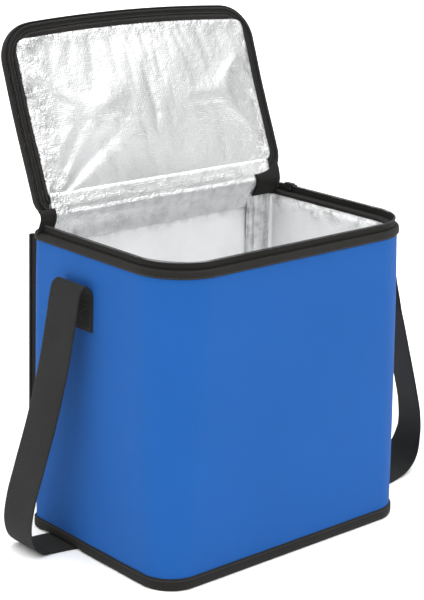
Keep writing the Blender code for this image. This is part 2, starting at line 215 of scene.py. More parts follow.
def sweep(rows, closed):
    """Extrudes a closed loop of edges through rows of points, one row for each station. The UV map
    holds the run along the sweep and the run round the profile, in metres."""
    bm = bmesh.new()
    profile_id = bm.verts.layers.int.new("profile_id")
    row_id = bm.verts.layers.int.new("row_id")
    count = len(rows[0])
    loop = [bm.verts.new(co) for co in rows[0]]
    for k, vert in enumerate(loop):
        vert[profile_id] = k
    edges = [bm.edges.new((loop[k], loop[(k + 1) % count])) for k in range(count)]
    for i, row in enumerate(rows[1:], 1):
        grown = bmesh.ops.extrude_edge_only(bm, edges=edges)["geom"]
        for vert in (item for item in grown if isinstance(item, bmesh.types.BMVert)):
            vert[row_id] = i
            vert.co = row[vert[profile_id]]
        edges = [item for item in grown if isinstance(item, bmesh.types.BMEdge)
                 and item.verts[0][row_id] == i and item.verts[1][row_id] == i]
    along = distances([sum((Vector(co) for co in row), Vector()) / count for row in rows])
    round_run = distances([Vector(co) for co in (*rows[0], rows[0][0])])
    uv = bm.loops.layers.uv.new("UVMap")
    for face in bm.faces:
        wraps = {0, count - 1} <= {vert[profile_id] for vert in face.verts} and count > 3
        for corner in face.loops:
            k = corner.vert[profile_id]
            across = round_run[count] if wraps and k == 0 else round_run[k]
            corner[uv].uv = (along[corner.vert[row_id]], across)
    if closed:
        bmesh.ops.remove_doubles(bm, verts=bm.verts, dist=1e-6)
    else:
        bmesh.ops.holes_fill(bm, edges=[edge for edge in bm.edges if edge.is_boundary], sides=0)
    bm.verts.layers.int.remove(bm.verts.layers.int["profile_id"])
    bm.verts.layers.int.remove(bm.verts.layers.int["row_id"])
    return bm


def ring(plan, profile, stations, closed, shift=None):
    """Sweeps a profile of (inset, z) round a plan. shift(station, point, outward, inset, z) may move
    each point."""
    rows = []
    for station in stations:
        outward = plan.outward(station)
        row = []
        for inset, z in profile:
            flat = plan.point(station, inset, z)
            point = Vector((flat.x, flat.y, z))
            if shift:
                point = shift(station, point, outward, inset, z)
            row.append(point)
        rows.append(row)
    return sweep(rows, closed)


def smooth_route(points, steps):
    """A centripetal curve through the points, so that unequal gaps between them don't overshoot."""
    points = [Vector(p) for p in points]
    points = [2 * points[0] - points[1], *points, 2 * points[-1] - points[-2]]
    curve = []
    for p0, p1, p2, p3 in zip(points, points[1:], points[2:], points[3:]):
        t1 = (p1 - p0).length ** 0.5
        t2 = t1 + (p2 - p1).length ** 0.5
        t3 = t2 + (p3 - p2).length ** 0.5
        for i in range(steps):
            t = t1 + (t2 - t1) * i / steps
            a1 = p0.lerp(p1, t / t1)
            a2 = p1.lerp(p2, (t - t1) / (t2 - t1))
            a3 = p2.lerp(p3, (t - t2) / (t3 - t2))
            b1 = a1.lerp(a2, t / t2)
            b2 = a2.lerp(a3, (t - t1) / (t3 - t1))
            curve.append(b1.lerp(b2, (t - t1) / (t2 - t1)))
    curve.append(points[-2])
    return curve


def lay_uv(bm, up):
    """A UV map in metres, x across and the axis numbered up upwards."""
    uv = bm.loops.layers.uv.new("UVMap")
    for face in bm.faces:
        for loop in face.loops:
            loop[uv].uv = (loop.vert.co.x, loop.vert.co[up])


def grow_back(bm):
    """Extrudes every face, keeping the first ones, and gives the new vertices."""
    grown = bmesh.ops.extrude_face_region(bm, geom=list(bm.faces), use_keep_orig=True)["geom"]
    return [item for item in grown if isinstance(item, bmesh.types.BMVert)]


def in_mm(pairs):
    """Pairs of lengths written in mm, in metres."""
    return [(a * MM, b * MM) for a, b in pairs]


def finish_piece(name, bm, finish, body, replaces=(), subdivide=0):
    """Makes a swept or built mesh a piece of the bag. A piece without a body is attached to none."""
    bmesh.ops.recalc_face_normals(bm, faces=bm.faces)
    mesh = bpy.data.meshes.new(name)
    bm.to_mesh(mesh)
    bm.free()
    mesh.materials.append(finish)
    mesh.shade_smooth()
    obj = bpy.data.objects.new(name, mesh)
    bpy.context.scene.collection.objects.link(obj)
    if subdivide:
        fine = obj.modifiers.new("Fine", "SUBSURF")
        fine.levels = fine.render_levels = subdivide
    if body:
        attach(obj, body)
    if replaces:
        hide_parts(*replaces)
    return obj


def strayed(co):
    """Where the soft lid really lies: leaning to the left, with its front corners drawn in."""
    away = HINGE.y - co.y
    aside = 1 - fade(away, 105 * MM)
    forward = 1 - fade(away - 85 * MM, 80 * MM)
    drawn = min(1.0, (co.x / (112 * MM)) ** 2)
    return co + Vector((-2.8 * MM * aside, 3.8 * MM * forward * drawn, 0))


def open_lid(bm):
    """Turns a piece that was shaped as if shut to the rest pose."""
    for vert in bm.verts:
        vert.co = OPENED @ strayed(vert.co)
    return bm


def ripple(point, scale, seed=0.0):
    """Smooth noise from -1 to 1 at a place."""
    return noise.noise(Vector(point) / scale + Vector((seed, seed * 1.7, seed * 0.6)))


def fade(distance, reach):
    """1 at no distance, falling smoothly to 0 at reach."""
    share = min(max(distance / reach, 0.0), 1.0)
    return (1 - share) ** 2 * (1 + 2 * share)


def rounded_profile(inset_low, inset_high, z_low, z_high, radius, steps):
    """A closed rectangle in (inset, z) with round corners."""
    centres = ((inset_high - radius, z_high - radius, 0), (inset_low + radius, z_high - radius, 90),
               (inset_low + radius, z_low + radius, 180), (inset_high - radius, z_low + radius, 270))
    points = []
    for inset, z, first in centres:
        for i in range(steps + 1):
            angle = math.radians(first + 90 * i / steps)
            points.append((inset + radius * math.cos(angle), z + radius * math.sin(angle)))
    return points


# ---------------------------------------------------------------- finishes

class Nodes:
    """Short calls for building the node tree of a material or a world."""

    def __init__(self, owner, shader="Principled BSDF"):
        self.owner = owner
        self.owner.use_nodes = True
        self.tree = self.owner.node_tree
        self.shader = self.tree.nodes[shader]

    def add(self, kind, **settings):
        node = self.tree.nodes.new(kind)
        for key, value in settings.items():
            setattr(node, key, value)
        return node

    def feed(self, node, socket, value):
        if isinstance(value, bpy.types.NodeSocket):
            self.tree.links.new(value, node.inputs[socket])
        else:
            node.inputs[socket].default_value = value

    def math(self, operation, a, b=0.0):
        node = self.add("ShaderNodeMath", operation=operation)
        self.feed(node, 0, a)
        self.feed(node, 1, b)
        return node.outputs[0]

    def weigh(self, a, share_a, b, share_b):
        """Two values added in the given shares."""
        return self.math("ADD", self.math("MULTIPLY", a, share_a), self.math("MULTIPLY", b, share_b))

    def place(self, kind):
        return self.add("ShaderNodeTexCoord").outputs[kind]

    def noise(self, vector, scale, detail):
        node = self.add("ShaderNodeTexNoise")
        self.feed(node, "Vector", vector)
        self.feed(node, "Scale", scale)
        self.feed(node, "Detail", detail)
        self.feed(node, "Roughness", 0.55)
        return node.outputs["Fac"]

    def cells(self, vector, scale):
        node = self.add("ShaderNodeTexVoronoi")
        self.feed(node, "Vector", vector)
        self.feed(node, "Scale", scale)
        return node.outputs["Distance"]

    def ramp(self, value, low, high, colour_a, colour_b):
        node = self.add("ShaderNodeValToRGB")
        node.color_ramp.elements[0].position = low
        node.color_ramp.elements[0].color = (*colour_a, 1.0)
        node.color_ramp.elements[1].position = high
        node.color_ramp.elements[1].color = (*colour_b, 1.0)
        self.feed(node, "Fac", value)
        return node.outputs["Color"]

    def mix(self, factor, first, second, **settings):
        """A colour mix, whose node reads the factor at input 0 and the colours at 6 and 7."""
        node = self.add("ShaderNodeMix", data_type="RGBA", **settings)
        for socket, value in ((0, factor), (6, first), (7, second)):
            self.feed(node, socket, value)
        return node.outputs[2]

    def span(self, value, low, high):
        """A 0 to 1 value spread over low to high."""
        node = self.add("ShaderNodeMapRange")
        self.feed(node, "Value", value)
        self.feed(node, "To Min", low)
        self.feed(node, "To Max", high)
        return node.outputs["Result"]

    def bump(self, height, strength, distance, normal=None):
        node = self.add("ShaderNodeBump")
        self.feed(node, "Height", height)
        self.feed(node, "Strength", strength)
        self.feed(node, "Distance", distance)
        if normal:
            self.feed(node, "Normal", normal)
        return node.outputs["Normal"]

    def set(self, **values):
        for socket, value in values.items():
            self.feed(self.shader, socket.replace("_", " "), value)
        return self.owner


def material(name):
    """The node tree of a new material."""
    return Nodes(bpy.data.materials.new(name))


def shade(colour, factor):
    """A colour made darker or lighter."""
    return tuple(min(1.0, channel * factor) for channel in colour)


def thread_waves(nodes, pitch_u, pitch_v, source="UV"):
    """Two trains of threads in the plane of the source, as (first, second) heights from 0 to 1."""
    split = nodes.add("ShaderNodeSeparateXYZ")
    nodes.feed(split, "Vector", nodes.place(source))
    waves = []
    for axis, pitch in (("X", pitch_u), ("Y", pitch_v)):
        turns = nodes.math("MULTIPLY", split.outputs[axis], 2 * math.pi / pitch)
        waves.append(nodes.math("MULTIPLY_ADD", nodes.math("SINE", turns), 0.5))
        waves[-1].node.inputs[2].default_value = 0.5
    return waves


CLOTH_ROUGHNESS, CLOTH_SHEEN = 0.78, 0.03


def woven(name, colour, pitch, mottling=0.10, source="UV"):
    """Plain-woven polyester: two trains of threads, uneven dye, painted shade in the low places between the
    threads, and a soft sheen.
    """
    nodes = material(name)
    first, second = thread_waves(nodes, pitch, pitch, source)
    checks = nodes.math("ABSOLUTE", nodes.math("SUBTRACT", first, second))
    place = nodes.place("Object")
    cloudy = nodes.noise(place, 9.0, 3.0)
    slubs = nodes.noise(place, 420.0, 2.0)
    tone = nodes.weigh(cloudy, 0.7, slubs, 0.3)
    dyed = nodes.ramp(tone, 0.25, 0.75, shade(colour, 1 - mottling), shade(colour, 1 + mottling))
    # Painted shade: the low places between the threads are darkened.
    gaps = nodes.span(checks, 0.22, 0.0)
    cloth = nodes.mix(gaps, dyed, (0.45, 0.45, 0.45, 1.0), blend_type="MULTIPLY")
    height = nodes.math("ADD", checks, nodes.math("MULTIPLY", slubs, 0.5))
    rough = nodes.span(slubs, CLOTH_ROUGHNESS - 0.08, CLOTH_ROUGHNESS + 0.1)
    return nodes.set(Base_Color=cloth, Roughness=rough, Normal=nodes.bump(height, 0.55, 0.00022),
                     Sheen_Weight=CLOTH_SHEEN, Sheen_Roughness=0.4, Specular_IOR_Level=0.14)


def ribbed(name, colour, rib, depth=0.0003):
    """Narrow woven tape with ribs across its run."""
    nodes = material(name)
    ribs, threads = thread_waves(nodes, rib, rib * 0.6)
    place = nodes.place("Object")
    fuzz = nodes.noise(place, 600.0, 3.0)
    wear = nodes.noise(place, 14.0, 3.0)
    tone = nodes.weigh(wear, 0.6, fuzz, 0.4)
    dyed = nodes.ramp(tone, 0.3, 0.75, shade(colour, 0.72), shade(colour, 1.5))
    height = nodes.math("ADD", ribs, nodes.math("MULTIPLY", nodes.math("MULTIPLY", threads, ribs), 0.5))
    height = nodes.math("ADD", height, nodes.math("MULTIPLY", fuzz, 0.6))
    rough = nodes.span(fuzz, CLOTH_ROUGHNESS - 0.1, CLOTH_ROUGHNESS + 0.12)
    return nodes.set(Base_Color=dyed, Roughness=rough, Normal=nodes.bump(height, 0.6, depth),
                     Sheen_Weight=CLOTH_SHEEN, Sheen_Roughness=0.45, Specular_IOR_Level=0.2)


def foil_film(name, colour, seed, rough=0.34, metallic=1.0):
    """Metallised film on cloth: a fine embossed mesh, clouded gloss, and hard little creases where
    the piece's crease attribute asks for them, with painted shade in dark patches along them."""
    nodes = material(name)
    shift = nodes.add("ShaderNodeMapping")
    nodes.feed(shift, "Vector", nodes.place("Object"))
    nodes.feed(shift, "Location", (seed, seed * 0.7, seed * 0.3))
    place = shift.outputs["Vector"]
    crease = nodes.add("ShaderNodeAttribute", attribute_name="crease").outputs["Fac"]
    ridges, small = (nodes.math("ABSOLUTE", nodes.math("SUBTRACT", nodes.noise(place, scale, detail), 0.5))
                     for scale, detail in ((120.0, 3.0), (330.0, 2.0)))
    wrinkles = nodes.weigh(ridges, 4.0, small, 2.0)
    wrinkles = nodes.math("MULTIPLY", wrinkles, nodes.math("ADD", crease, 0.2))
    threads_a, threads_b = thread_waves(nodes, 0.0019, 0.0019)
    emboss = nodes.math("MULTIPLY", threads_a, threads_b)
    sparkle = nodes.noise(place, 1500.0, 2.0)
    clouds = nodes.noise(place, 18.0, 4.0)
    broad = nodes.bump(wrinkles, 0.8, 0.0012)
    grain = nodes.math("ADD", emboss, nodes.math("MULTIPLY", sparkle, 0.9))
    fine = nodes.bump(grain, 0.4, 0.00026, broad)
    tint = nodes.ramp(clouds, 0.3, 0.7, shade(colour, 0.88), colour)
    # Painted shade: dark patches where the crease attribute is high, in place of the shade and dark
    # reflections in the crinkles.
    painted_crease_shade = nodes.math("MULTIPLY", nodes.span(nodes.noise(place, 90.0, 3.0), -1.8, 2.4), crease)
    film = nodes.mix(nodes.math("MULTIPLY", painted_crease_shade, 0.85), tint, (*shade(colour, 0.16), 1.0))
    return nodes.set(Base_Color=film, Metallic=metallic, Normal=fine,
                     Roughness=nodes.span(clouds, rough - 0.07, rough + 0.1))


def moulded(name, colour, rough, metallic=0.0):
    """Nylon, enamel or plastic with a faint orange-peel and rubbed places."""
    nodes = material(name)
    place = nodes.place("Object")
    grain = nodes.noise(place, 900.0, 2.0)
    rub = nodes.noise(place, 160.0, 3.0)
    tint = nodes.ramp(rub, 0.35, 0.8, colour, shade(colour, 1.7))
    return nodes.set(Base_Color=tint, Metallic=metallic, Roughness=nodes.span(rub, rough, rough + 0.15),
                     Normal=nodes.bump(grain, 0.15, 0.0001))


def foam_cells(name, colour):
    """Closed-cell foam with small round pores, each painted darker towards its middle as shade."""
    nodes = material(name)
    place = nodes.place("Object")
    pores = nodes.cells(place, 700.0)
    # Painted shade: each pore darkens towards its middle, where the bump sinks.
    tint = nodes.ramp(pores, 0.0, 0.7, shade(colour, 0.85), colour)
    return nodes.set(Base_Color=tint, Roughness=0.9, Normal=nodes.bump(pores, 0.4, 0.0003))


def finishes(context):
    """Every material, made once and kept by name."""
    made = {mat.name: mat for mat in bpy.data.materials}
    if "blue_cloth" in made:
        return made
    colours, weave = context.scene.cooler_colours, context.scene.cooler_sizes.weave
    blue, black, binding, webbing, foil = (
        tuple(getattr(colours, name)) for name in ("blue", "black", "binding", "webbing", "foil"))
    woven("blue_cloth", blue, weave, mottling=0.06)
    woven("black_cloth", black, weave)
    woven("base_cloth", black, weave, source="Object")
    ribbed("binding_tape", binding, 0.0011)
    ribbed("zip_tape_cloth", shade(binding, 0.8), 0.0008)
    ribbed("strap_webbing", webbing, 0.0016, depth=0.0004)
    # One foil in three copies: painted lighter on the walls and painted darker on the lid and hinge, to even
    # out how bright each looks under the studio light.
    foil_film("wall_foil_film", shade(foil, 1.05), 0.0, rough=0.4, metallic=0.6)
    foil_film("lid_foil_film", shade(foil, 0.79), 3.1)
    foil_film("hinge_foil_film", shade(foil, 0.9), 7.7)
    moulded("coil_nylon", (0.014, 0.014, 0.014), 0.34)
    moulded("zip_enamel", (0.02, 0.02, 0.021), 0.28, metallic=0.6)
    moulded("stop_metal", (0.42, 0.42, 0.43), 0.3, metallic=1.0)
    moulded("black_thread", (0.03, 0.03, 0.03), 0.65)
    moulded("base_plastic", (0.05, 0.05, 0.05), 0.5)
    foam_cells("white_foam", (0.82, 0.82, 0.8))
    return {mat.name: mat for mat in bpy.data.materials}


def dress_node(name, finish):
    """Gives a frame node that keeps its own shape a finish."""
    mesh = frame["nodes"][name].data
    mesh.materials.clear()
    mesh.materials.append(finish)


# ---------------------------------------------------------------- outer shell

def levels(low, high, step):
    """Even values from low to high, about a step apart."""
    count = max(1, round((high - low) / step))
    return [low + (high - low) * i / count for i in range(count + 1)]


class BuildOperator:
    """Shared wording for the operators that build pieces."""

    bl_options = {"REGISTER", "UNDO"}


class COOLER_OT_wrap(BuildOperator, bpy.types.Operator):
    """Blue front and sides in one length of cloth, and the black back"""

    bl_idname = "cooler.wrap"
    bl_label = "Outer wrap"

    def execute(self, context):
        mats, sizes = finishes(context), context.scene.cooler_sizes
        outer = [(0.0, z) for z in levels(WALL_FOOT, WALL_TOP, 4 * MM)]
        inner = [(0.9 * MM, z) for z in (WALL_TOP, (WALL_TOP + WALL_FOOT) / 2, WALL_FOOT)]
        stations = BODY.stations(4 * MM, closed=False)

        def soften(station, point, outward, inset, z):
            if inset > 0:
                return point
            return point + outward * panel_swell(station, point, z, sizes)

        bm = ring(BODY, outer + inner, stations, False, soften)
        finish_piece("blue_wrap", bm, mats["blue_cloth"], "bag", ["outer_wrap"])

        low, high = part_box("back_panel")
        bm = cloth_panel(low[0], high[0], low[2], high[2], high[1], -(high[1] - low[1]), 5 * MM,
                         lambda x, z: 0.5 * MM * ripple((x, 0, z), 60 * MM, 4.0))
        finish_piece("back_cloth", bm, mats["black_cloth"], "bag", ["back_panel"])
        return {"FINISHED"}


def panel_swell(station, point, z, sizes):
    """How far the outer cloth stands off its flat shape: a crown on each panel, slow waves, and
    small gathers beside the sewn edges."""
    kind, index, share = station
    up = (z - WALL_FOOT) / (WALL_TOP - WALL_FOOT)
    crown = math.sin(math.pi * up) ** 0.8
    if kind == "side":
        crown *= 0.55 + 0.45 * math.sin(math.pi * share)
    else:
        crown *= 0.55
    slow = ripple(point, 85 * MM, 2.0) * 0.6 * MM * min(1.0, 4 * up * (1 - up) + 0.1)
    edge = fade(WALL_TOP - 5 * MM - z, 22 * MM) + fade(z - 10 * MM, 20 * MM)
    gather = ripple((point.x, point.y, z * 0.25), 9 * MM, 5.0) * sizes.pucker * edge
    return sizes.crown * crown + slow + gather


def cloth_panel(x_low, x_high, z_low, z_high, y, depth, step, height):
    """A flat cloth in the XZ plane at y, with its face moved by height(x, z) and a wall behind it."""
    bm = bmesh.new()
    columns = max(2, round((x_high - x_low) / step))
    rows = max(2, round((z_high - z_low) / step))
    bmesh.ops.create_grid(bm, x_segments=columns, y_segments=rows, size=0.5)
    bmesh.ops.scale(bm, vec=(x_high - x_low, z_high - z_low, 1.0), verts=bm.verts)
    bmesh.ops.rotate(bm, cent=(0, 0, 0), matrix=Matrix.Rotation(math.radians(90), 3, "X"), verts=bm.verts)
    bmesh.ops.translate(bm, vec=((x_high + x_low) / 2, y, (z_high + z_low) / 2), verts=bm.verts)
    lay_uv(bm, 2)
    face = list(bm.verts)
    bmesh.ops.translate(bm, vec=(0, depth, 0), verts=grow_back(bm))
    for vert in face:
        vert.co.y += height(vert.co.x, vert.co.z)
    return bm


def strap_lift(point, z):
    """The bottom edge rides up a little where the strap passes under it."""
    if abs(point.x) < HALF_WIDTH - 8 * MM:
        return 0.0
    middle = UNDER_LEFT_Y if point.x < 0 else UNDER_RIGHT_Y
    away = abs(point.y - middle) - STRAP_WIDTH / 2 - 2.5 * MM
    return 1.75 * MM * fade(max(away, 0.0), 9 * MM) * fade(max(z, 0.0), 14 * MM)


class COOLER_OT_base(BuildOperator, bpy.types.Operator):
    """Bound bottom edge, base cloth, board and foam"""

    bl_idname = "cooler.base"
    bl_label = "Base"

    def execute(self, context):
        mats = finishes(context)
        profile = [(6.3, 0.0), (2.0, 0.0), (0.2, 0.15), (-0.9, 0.6), (-1.6, 1.6), (-1.9, 3.2), (-2.0, 5.2),
                   (-1.9, 7.4), (-1.55, 9.2), (-1.0, 10.3), (-0.45, 10.7), (-0.1, 10.3), (-0.2, 7.0),
                   (-0.2, 2.6), (0.6, 1.45), (6.3, 1.45)]
        stations = BODY.stations(2.5 * MM)

        def roll(station, point, outward, inset, z):
            lift = strap_lift(point, z)
            wave = ripple((point.x, point.y, 0), 14 * MM, 3.0) * 0.22 * MM * (z > MM)
            return point + outward * wave * (inset < -0.5 * MM) + Vector((0, 0, lift))

        bm = ring(BODY, in_mm(profile), stations, True, roll)
        finish_piece("bottom_tape", bm, mats["binding_tape"], "bag", ["bottom_binding"])
        dress_node("base_panel", mats["base_cloth"])
        dress_node("base_board", mats["base_plastic"])
        for name in ("base_foam", "wall_foam"):
            dress_node(name, mats["white_foam"])
        return {"FINISHED"}


# ---------------------------------------------------------------- rim and zip

COIL_INSET, COIL_WIDTH, COIL_HEIGHT, COIL_WIRE = 2.5 * MM, 1.5 * MM, 1.3 * MM, 0.26 * MM


def coil_along(points, normals, pitch, width, height):
    """A nylon coil wound along a line: a thin wire turned round it, flattened to width by height."""
    run = distances(points)
    turns = int(run[-1] / pitch)
    wire = []
    steps = 8
    at = 0
    for n in range(turns * steps + 1):
        s = n * pitch / steps
        while at < len(run) - 2 and run[at + 1] < s:
            at += 1
        share = (s - run[at]) / (run[at + 1] - run[at])
        centre = points[at].lerp(points[at + 1], share)
        out = normals[at].lerp(normals[at + 1], share)
        angle = 2 * math.pi * n / steps
        wire.append(centre + out * math.cos(angle) * width / 2
                    + Vector((0, 0, math.sin(angle) * height / 2)))
    return wire


def wire_mesh(paths, radius, taper=1.0):
    """Thin round wires as one mesh, each narrowed to taper at its two ends."""
    data = bpy.data.curves.new("wire", "CURVE")
    data.dimensions = "3D"
    for points in paths:
        spline = data.splines.new("POLY")
        spline.points.add(len(points) - 1)
        spline.points.foreach_set("co", [c for p in points for c in (*p, 1.0)])
        spline.points[0].radius = spline.points[-1].radius = taper
    data.bevel_depth = radius
    data.bevel_resolution = 0
    data.use_fill_caps = True
    helper = bpy.data.objects.new("wire", data)
    bpy.context.scene.collection.objects.link(helper)
    graph = bpy.context.evaluated_depsgraph_get()
    bm = bmesh.new()
    bm.from_mesh(helper.evaluated_get(graph).to_mesh())
    bpy.data.objects.remove(helper, do_unlink=True)
    bpy.data.curves.remove(data)
    bmesh.ops.remove_doubles(bm, verts=bm.verts, dist=1e-7)
    return bm


def coil_mesh(points, normals, pitch):
    """The zip's coil along a line, as a mesh."""
    return wire_mesh([coil_along(points, normals, pitch, COIL_WIDTH, COIL_HEIGHT)], COIL_WIRE)


class COOLER_OT_rim(BuildOperator, bpy.types.Operator):
    """Bound rim, standing zip tape and its coil on three sides"""

    bl_idname = "cooler.rim"
    bl_label = "Rim and zip"

    def execute(self, context):
        mats, sizes = finishes(context), context.scene.cooler_sizes
        cap = [(-0.2, 261.2), (-0.8, 261.3), (-1.5, 262.0), (-1.9, 263.6), (-1.9, 265.4), (-1.6, 267.0),
               (-0.8, 267.9), (1.0, 268.1), (5.0, 268.1), (7.6, 267.9), (8.5, 267.3), (8.8, 266.2),
               (8.6, 264.8), (8.1, 264.3), (7.5, 264.6), (7.4, 266.8), (3.0, 266.8), (-0.2, 266.8),
               (-0.2, 264.0)]

        def roll(station, point, outward, inset, z):
            outside = inset < -0.5 * MM
            inside = inset > 8 * MM
            wave = ripple((point.x, point.y, z * 0.3), 11 * MM, 6.0) * 0.25 * MM
            return point + outward * wave * (outside or inside)

        bm = ring(BODY, in_mm(cap), BODY.stations(2.5 * MM), True, roll)
        finish_piece("rim_tape", bm, mats["binding_tape"], "bag", ["rim_binding"])

        stations = BODY.stations(2 * MM, closed=False, rear_turn=0.3)
        low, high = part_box("rim_zip_tape")
        tape = rounded_profile(2.1 * MM, 2.9 * MM, low[2] - 0.1 * MM, high[2] + 0.7 * MM, 0.35 * MM, 2)

        def lean(station, point, outward, inset, z):
            share = (z - low[2]) / (high[2] - low[2])
            return point + outward * ripple((point.x, point.y, 0), 30 * MM, 9.0) * 0.35 * MM * share

        bm = ring(BODY, tape, stations, False, lean)
        finish_piece("rim_zip_cloth", bm, mats["zip_tape_cloth"], "bag", ["rim_zip_tape"])

        stations = BODY.stations(2 * MM, closed=False, rear_turn=0.0)
        middle = (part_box("rim_zip_coil")[0][2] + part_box("rim_zip_coil")[1][2]) / 2
        bm = coil_mesh(*BODY.line(stations, COIL_INSET, middle), sizes.coil_pitch)
        finish_piece("rim_coil", bm, mats["coil_nylon"], "bag", ["rim_zip_coil"])
        for name in ("zip_stop_left", "zip_stop_right"):
            dress_node(name, mats["stop_metal"])
        return {"FINISHED"}


# ---------------------------------------------------------------- foil

def soft_folds(point, seed):
    """Slow rise and fall of slack film, from about -1 to 1."""
    return ripple(point, 75 * MM, seed) + 0.35 * ripple(point, 32 * MM, seed + 5)


def sharp_lines(point, seed, spacing, width):
    """Long thin creases about spacing apart, 1 on a crease and 0 between them."""
    bend = Vector((ripple(point, 50 * MM, seed + 7), ripple(point, 50 * MM, seed + 8),
                   ripple(point, 50 * MM, seed + 9))) * 6 * MM
    return max(0.0, 1 - abs(ripple(Vector(point) + bend, spacing, seed)) * spacing / width * 0.5)


def mark_creases_and_shade(mesh, amount):
    """Stores how hard the film is creased at each point, for its finish to read: the finish bumps the creases
    and paints shade into them.
    """
    layer = mesh.attributes.new("crease", "FLOAT", "POINT")
    layer.data.foreach_set("value", [amount(vert.co) for vert in mesh.vertices])


class COOLER_OT_liner(BuildOperator, bpy.types.Operator):
    """Foil walls and floor of the compartment, and the taped corner seams"""

    bl_idname = "cooler.liner"
    bl_label = "Foil lining"

    def execute(self, context):
        mats, sizes = finishes(context), context.scene.cooler_sizes
        low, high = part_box("foil_liner")
        floor = low[2] + 0.8 * MM
        face = [(7.1 * MM, z) for z in levels(floor - 0.6 * MM, high[2], 3.2 * MM)]
        behind = [(6.4 * MM, z) for z in (high[2], (floor + high[2]) / 2, floor - 0.6 * MM)]

        def crumple(station, point, outward, inset, z):
            if inset < 7 * MM:
                return point
            held = 1 - fade(high[2] - MM - z, 7 * MM)
            if station[:2] == ("side", 3):
                held *= 1 - fade(max(high[2] - 22 * MM - z, 0.0), 30 * MM)
            depth = 1.0 + 0.8 * soft_folds(point, 20.0) + 0.55 * sharp_lines(point, 23.0, 60 * MM, 5 * MM)
            along = Vector((point.x, point.y, z * 0.3))
            top = fade(high[2] - 4 * MM - z, 34 * MM)
            gathers = (0.9 + ripple(along, 13 * MM, 31.0) + 0.5 * ripple(along, 6 * MM, 33.0)) * top
            return point - outward * (sizes.crinkle * 0.5 * max(depth, 0.0) + 1.3 * MM * gathers) * held

        bm = ring(BODY, face + behind, BODY.stations(3.2 * MM), True, crumple)
        walls = finish_piece("foil_walls", bm, mats["wall_foil_film"], "bag", ["foil_liner"])
        # Crease bump and painted shade: the foil darkens in the puckers along the top of the walls.
        mark_creases_and_shade(walls.data, lambda co: 0.7 * fade(high[2] - co.z, 22 * MM))
        self.make_floor(mats, floor, sizes)
        self.make_seams(mats, floor, high[2])
        return {"FINISHED"}

    def make_floor(self, mats, z, sizes):
        """The liner's floor, round at the front and square under the seams."""
        gap = 7.6 * MM
        front_radius, rear_radii, step = FOOT_RADIUS - gap, (0.0, 0.0), 3.496 * MM
        bm = rounded_sheet(HALF_WIDTH - gap, FRONT + gap, REAR - gap, front_radius, rear_radii, step)
        thicken(bm, z - 0.6 * MM, z, lambda x, y: sizes.crinkle * (
            0.5 + 0.3 * soft_folds((x, y, z), 50.0) + 0.25 * sharp_lines((x, y, z), 53.0, 45 * MM, 5 * MM)))
        finish_piece("foil_floor", bm, mats["wall_foil_film"], "bag")

    def make_seams(self, mats, low, high):
        """A folded strip of foil covers the seam beside each rear corner."""
        section = [(-14.3, 0.1), (-13.6, 1.3), (-12.9, 0.4), (-12.2, 1.5), (-9.0, 1.6), (-6.2, 1.9),
                   (-5.4, 0.5), (-4.6, 2.2), (0.0, 1.8), (5.0, 1.5), (9.2, 2.0), (10.2, 0.6), (11.2, 2.0),
                   (13.4, 1.3), (14.3, 0.1), (12.0, -0.6), (-12.0, -0.6)]
        for side, name in ((-1, "foil_seam_left"), (1, "foil_seam_right")):
            x, y = side * 113.5 * MM, REAR - 9.4 * MM
            rows = []
            for z in levels(low, high + 1.5 * MM, 4 * MM):
                row = []
                for dx, dy in section:
                    place = Vector((x, dx * MM * 3, z * 0.4))
                    sway = ripple(place, 26 * MM, side + 3.0) * 0.9 * MM
                    lift = dy * MM * (1 + 0.5 * ripple(place, 14 * MM, 8.0))
                    lift *= 1 - 0.7 * fade(high - z, 16 * MM)
                    row.append(Vector((x + side * dx * MM + sway, y - lift, z)))
                rows.append(row)
            strip = finish_piece(name, sweep(rows, False), mats["hinge_foil_film"], "bag")
            # The whole strip gets the same crease bump and painted crease shade.
            mark_creases_and_shade(strip.data, lambda co: 0.45)


# ---------------------------------------------------------------- lid

def lid_ring(profile, spacing, closed=False, rear_turn=0.75, shift=None):
    """Sweeps a profile of (inset, height over the hinge) round the lid, then opens it."""
    profile = [(inset * MM, HINGE.z + up * MM) for inset, up in profile]
    stations = LID.stations(spacing, closed, rear_turn)
    return open_lid(ring(LID, profile, stations, closed, shift))


